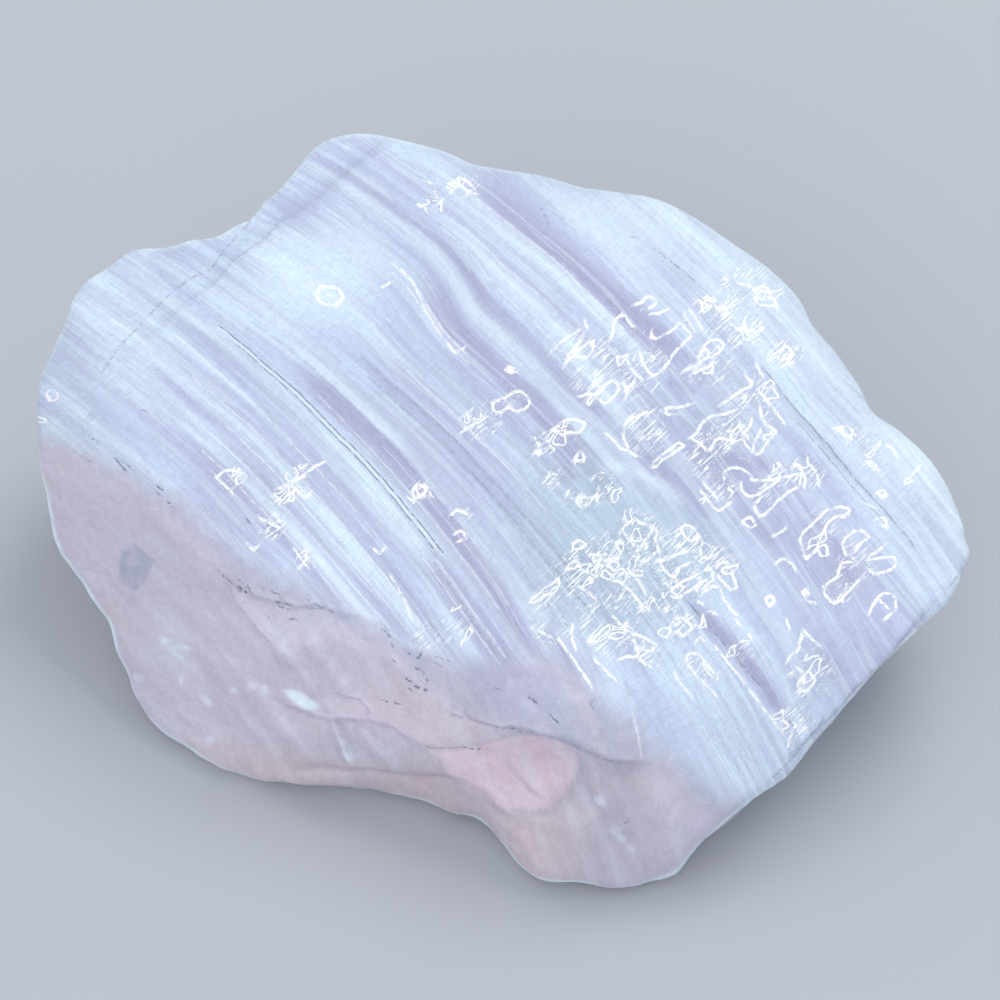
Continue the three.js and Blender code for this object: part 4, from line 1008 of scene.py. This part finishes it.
def calcite_material():
    material = bpy.data.materials.new("banded calcite")
    material.use_nodes = True
    tree = material.node_tree
    shader = tree.nodes["Principled BSDF"]
    s = Sums(tree)
    tone = node(tree, "ShaderNodeAttribute", attribute_name="tone").outputs["Color"]
    along = s.reading("along")
    across = s.reading("across")
    banded = s.reading("banded")
    stripes = s.reading("stripes")
    sparkle = s.reading("sparkle")
    here = node(tree, "ShaderNodeTexCoord").outputs["Object"]

    # Bands with crisp edges, finer bands, the fibres along them, and the hatching square to them.
    broad = s.noise(s.product(along, 0.02), s.product(across, 0.36), detail=1.5)
    broad = s.ramp(broad, 0.47, 0.55)
    finer_across = s.do("MULTIPLY_ADD", across, 1.25, 40.0)
    fine = s.noise(s.product(along, 0.045), finer_across, detail=2, roughness=0.6)
    raised = s.ramp(fine, 0.54, 0.62)
    sunk = s.ramp(fine, 0.45, 0.38)
    cloud = s.noise(s.product(along, 1.1), s.product(across, 1.8), detail=2, roughness=0.6)
    fibre = s.noise(s.product(along, 0.3), s.product(across, 3.4), detail=3, roughness=0.6)
    fibre = s.ramp(fibre, 0.34, 0.66, -0.5, 0.5)
    hatch = s.noise(s.product(along, 4.5), s.product(across, 0.7), detail=2, roughness=0.6)
    inputs = {"Vector": here, "Scale": GRAIN_SCALE, "Detail": 1.0}
    grain = node(tree, "ShaderNodeTexNoise", inputs).outputs["Fac"]

    # Painted glints of small steps: bright closed outlines inside some of the cells of the net, which is
    # warped.
    inputs = {"Vector": s.place(along, across), "Scale": 0.8, "Detail": 1.0}
    warp = node(tree, "ShaderNodeTexNoise", inputs, noise_dimensions="2D").outputs["Color"]
    warp = node(tree, "ShaderNodeVectorMath", {0: warp, 1: FACET_WARP}, operation="MULTIPLY").outputs[0]
    net = s.place(along, s.product(across, 1 / FACET_HEIGHT))
    net = node(tree, "ShaderNodeVectorMath", {0: net, 1: warp}, operation="ADD").outputs[0]
    flat = {"voronoi_dimensions": "2D"}
    inputs = {"Vector": net, "Scale": 1.0}
    edges = node(tree, "ShaderNodeTexVoronoi", inputs, feature="DISTANCE_TO_EDGE", **flat)
    cell = node(tree, "ShaderNodeTexVoronoi", inputs, **flat).outputs["Color"]
    chance = node(tree, "ShaderNodeSeparateColor", {0: cell}).outputs[0]
    chosen = s.do("GREATER_THAN", s.product(sparkle, FACET_SHARE), chance)
    from_line = s.do("ABSOLUTE", s.do("SUBTRACT", edges.outputs["Distance"], FACET_INSET))
    steps = s.product(s.ramp(from_line, FACET_LINE, FACET_LINE * 0.4), chosen)

    # Painted glints: strokes of the hatching and single bright grains, where the surface is full of steps.
    patch = s.noise(s.product(along, 0.5), s.do("MULTIPLY_ADD", across, 0.4, 11.0), detail=2)
    stroke_glints = s.product(s.ramp(hatch, 0.53, 0.6), s.ramp(patch, 0.4, 0.56), s.ramp(sparkle, 0.1, 0.7), 0.9)
    grains = s.product(s.ramp(grain, 0.64, 0.74), s.ramp(sparkle, 0.0, 0.6, 0.1, 0.8))
    bright = s.do("MAXIMUM", steps, s.do("MAXIMUM", stroke_glints, grains))

    waver = s.noise(s.product(along, 1.7), s.do("MULTIPLY_ADD", across, 1.7, 23.0), detail=2)
    uneven = s.product(s.do("SUBTRACT", waver, 0.5), 0.3)
    uneven = s.do("MULTIPLY_ADD", s.do("SUBTRACT", grain, 0.5), 0.14, uneven)

    def lines(kind, outer, inner):
        """The fine lines of one kind from all their layers, with edges broken up a little by the grain."""
        drawn = 0.0
        for i in range(LAYERS[kind]):
            gap = s.do("ABSOLUTE", s.do("ADD", s.reading(f"{kind}_beside_{i}"), uneven))
            near = s.reading(f"{kind}_near_{i}")
            drawn = s.do("MAXIMUM", drawn, s.product(s.ramp(gap, outer, inner), near))
        return drawn

    # The drawn lines (painted glints, cracks and painted shadow lines), and the fine lines along the bands.
    patchy = s.ramp(waver, 0.35, 0.5, 0.35, 1.0)
    pale = s.product(lines("pale", 0.19, 0.1), patchy)
    dark = s.product(lines("dark", 0.14, 0.05), s.ramp(waver, 0.4, 0.55))
    shifted = s.do("MULTIPLY_ADD", s.do("SUBTRACT", patch, 0.5), 0.25, across)
    for level, kind, half, strength, start, end in BAND_LINES:
        there = s.do("COMPARE", shifted, level, half)
        ends = s.do("COMPARE", along, (start + end) / 2, (end - start) / 2)
        drawn = s.product(there, ends, patchy, s.product(banded, strength))
        if kind == "pale":
            pale = s.do("MAXIMUM", pale, drawn)
        else:
            dark = s.do("MAXIMUM", dark, drawn)
    glints_and_pale_lines = s.do("MAXIMUM", bright, pale)

    # The stone's colour, made uneven by its fibres, grain, hatching and clouds, and then bands, lines,
    # painted shadow lines and painted glints.
    lift = s.do("MULTIPLY_ADD", s.product(fibre, banded), 0.05, s.ramp(sparkle, 0.0, 1.0, 1.0, 0.92))
    lift = s.do("MULTIPLY_ADD", s.do("SUBTRACT", grain, 0.5), 0.2, lift)
    lift = s.do("MULTIPLY_ADD", s.product(s.do("SUBTRACT", hatch, 0.5), banded), 0.22, lift)
    lift = s.do("MULTIPLY_ADD", s.do("SUBTRACT", cloud, 0.5), 0.22, lift)
    shade = node(tree, "ShaderNodeVectorMath", {0: tone, 1: lift}, operation="MULTIPLY").outputs[0]
    shade = s.blend(s.product(broad, stripes, 0.3), shade, BAND_SHADE)
    # The raised finer bands are lighter and the sunk ones darker: band colour, and partly painted light and
    # shade of their relief.
    shade = s.blend(s.product(sunk, stripes, 0.26), shade, SUNK_SHADE)
    shade = s.blend(s.product(raised, stripes, 0.3), shade, RAISED_SHADE)
    shade = s.blend(s.product(dark, 0.75), shade, DARK_AND_SHADOW_LINE_COLOUR)
    shade = s.blend(glints_and_pale_lines, shade, GLINT_AND_PALE_LINE_WHITE)
    tree.links.new(shade, shader.inputs["Base Color"])
    shader.inputs["Subsurface Weight"].default_value = GLOW_SHARE
    shader.inputs["Subsurface Radius"].default_value = GLOW_RADII
    shader.inputs["Subsurface Scale"].default_value = GLOW_DEPTH
    shader.inputs["Specular IOR Level"].default_value = 0.5
    shader.inputs["IOR"].default_value = CALCITE_IOR
    roughness = s.ramp(banded, 0.0, 1.0, WALL_ROUGHNESS, BAND_ROUGHNESS)
    tree.links.new(roughness, shader.inputs["Roughness"])
    height = s.do("MULTIPLY_ADD", s.product(fibre, banded), 0.25, s.product(grain, 0.2))
    height = s.do("ADD", height, s.product(s.do("SUBTRACT", raised, sunk), stripes, 0.6))
    bump = node(tree, "ShaderNodeBump", {"Height": height, "Strength": 0.7, "Distance": 0.0001}).outputs[0]
    tree.links.new(bump, shader.inputs["Normal"])
    return material


stone.data.materials.append(calcite_material())
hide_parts("calcite")
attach(stone, "root")


# The floor, the lights and the camera, in metres.
FLOOR_HALF = 1.5
FLOOR_COLOUR = (0.50, 0.525, 0.56, 1)


def floor_material():
    material = bpy.data.materials.new("pale floor")
    material.use_nodes = True
    shader = material.node_tree.nodes["Principled BSDF"]
    shader.inputs["Base Color"].default_value = FLOOR_COLOUR
    shader.inputs["Roughness"].default_value = 0.8
    return material


bm = bmesh.new()
bmesh.ops.create_grid(bm, x_segments=1, y_segments=1, size=FLOOR_HALF)
floor = placed("floor", bm)
floor.data.materials.append(floor_material())


LIT_PLACE = (0, 0, 0.015)
SKY_COLOUR = (0.90, 0.94, 1.0, 1)
SKY_STRENGTH = 0.72
SENSOR_WIDTH = 36


def aim(thing, at):
    direction = Vector(at) - thing.location
    thing.rotation_euler = direction.to_track_quat("-Z", "Y").to_euler()


def area_light(name, azimuth, elevation, distance, size, watts, colour):
    data = bpy.data.lights.new(name, "AREA")
    data.shape = "SQUARE"
    data.size = size
    data.energy = watts
    data.color = colour
    light = bpy.data.objects.new(name, data)
    light.location = direction_of(azimuth, elevation) * distance
    bpy.context.scene.collection.objects.link(light)
    aim(light, LIT_PLACE)


area_light("key", 140, 58, distance=0.9, size=0.5, watts=2.9, colour=(0.97, 0.98, 0.99))
area_light("front fill", -30, 30, distance=1.0, size=0.8, watts=2.8, colour=(1.0, 0.97, 0.97))

world = bpy.data.worlds.new("studio")
bpy.context.scene.world = world
world.use_nodes = True
sky = world.node_tree.nodes["Background"]
sky.inputs["Color"].default_value = SKY_COLOUR
sky.inputs["Strength"].default_value = SKY_STRENGTH
bpy.context.scene.view_settings.view_transform = "Standard"

camera_data = bpy.data.cameras.new("camera")
camera_data.sensor_width = SENSOR_WIDTH
camera_data.lens = SENSOR_WIDTH * VIEW_DISTANCE / VIEW_WIDTH
camera = bpy.data.objects.new("camera", camera_data)
view_centre = (VIEW_CENTRE - MIDDLE) * MM
camera.location = view_centre + TOWARDS_VIEWER * VIEW_DISTANCE * MM
bpy.context.scene.collection.objects.link(camera)
aim(camera, view_centre)
bpy.context.scene.camera = camera
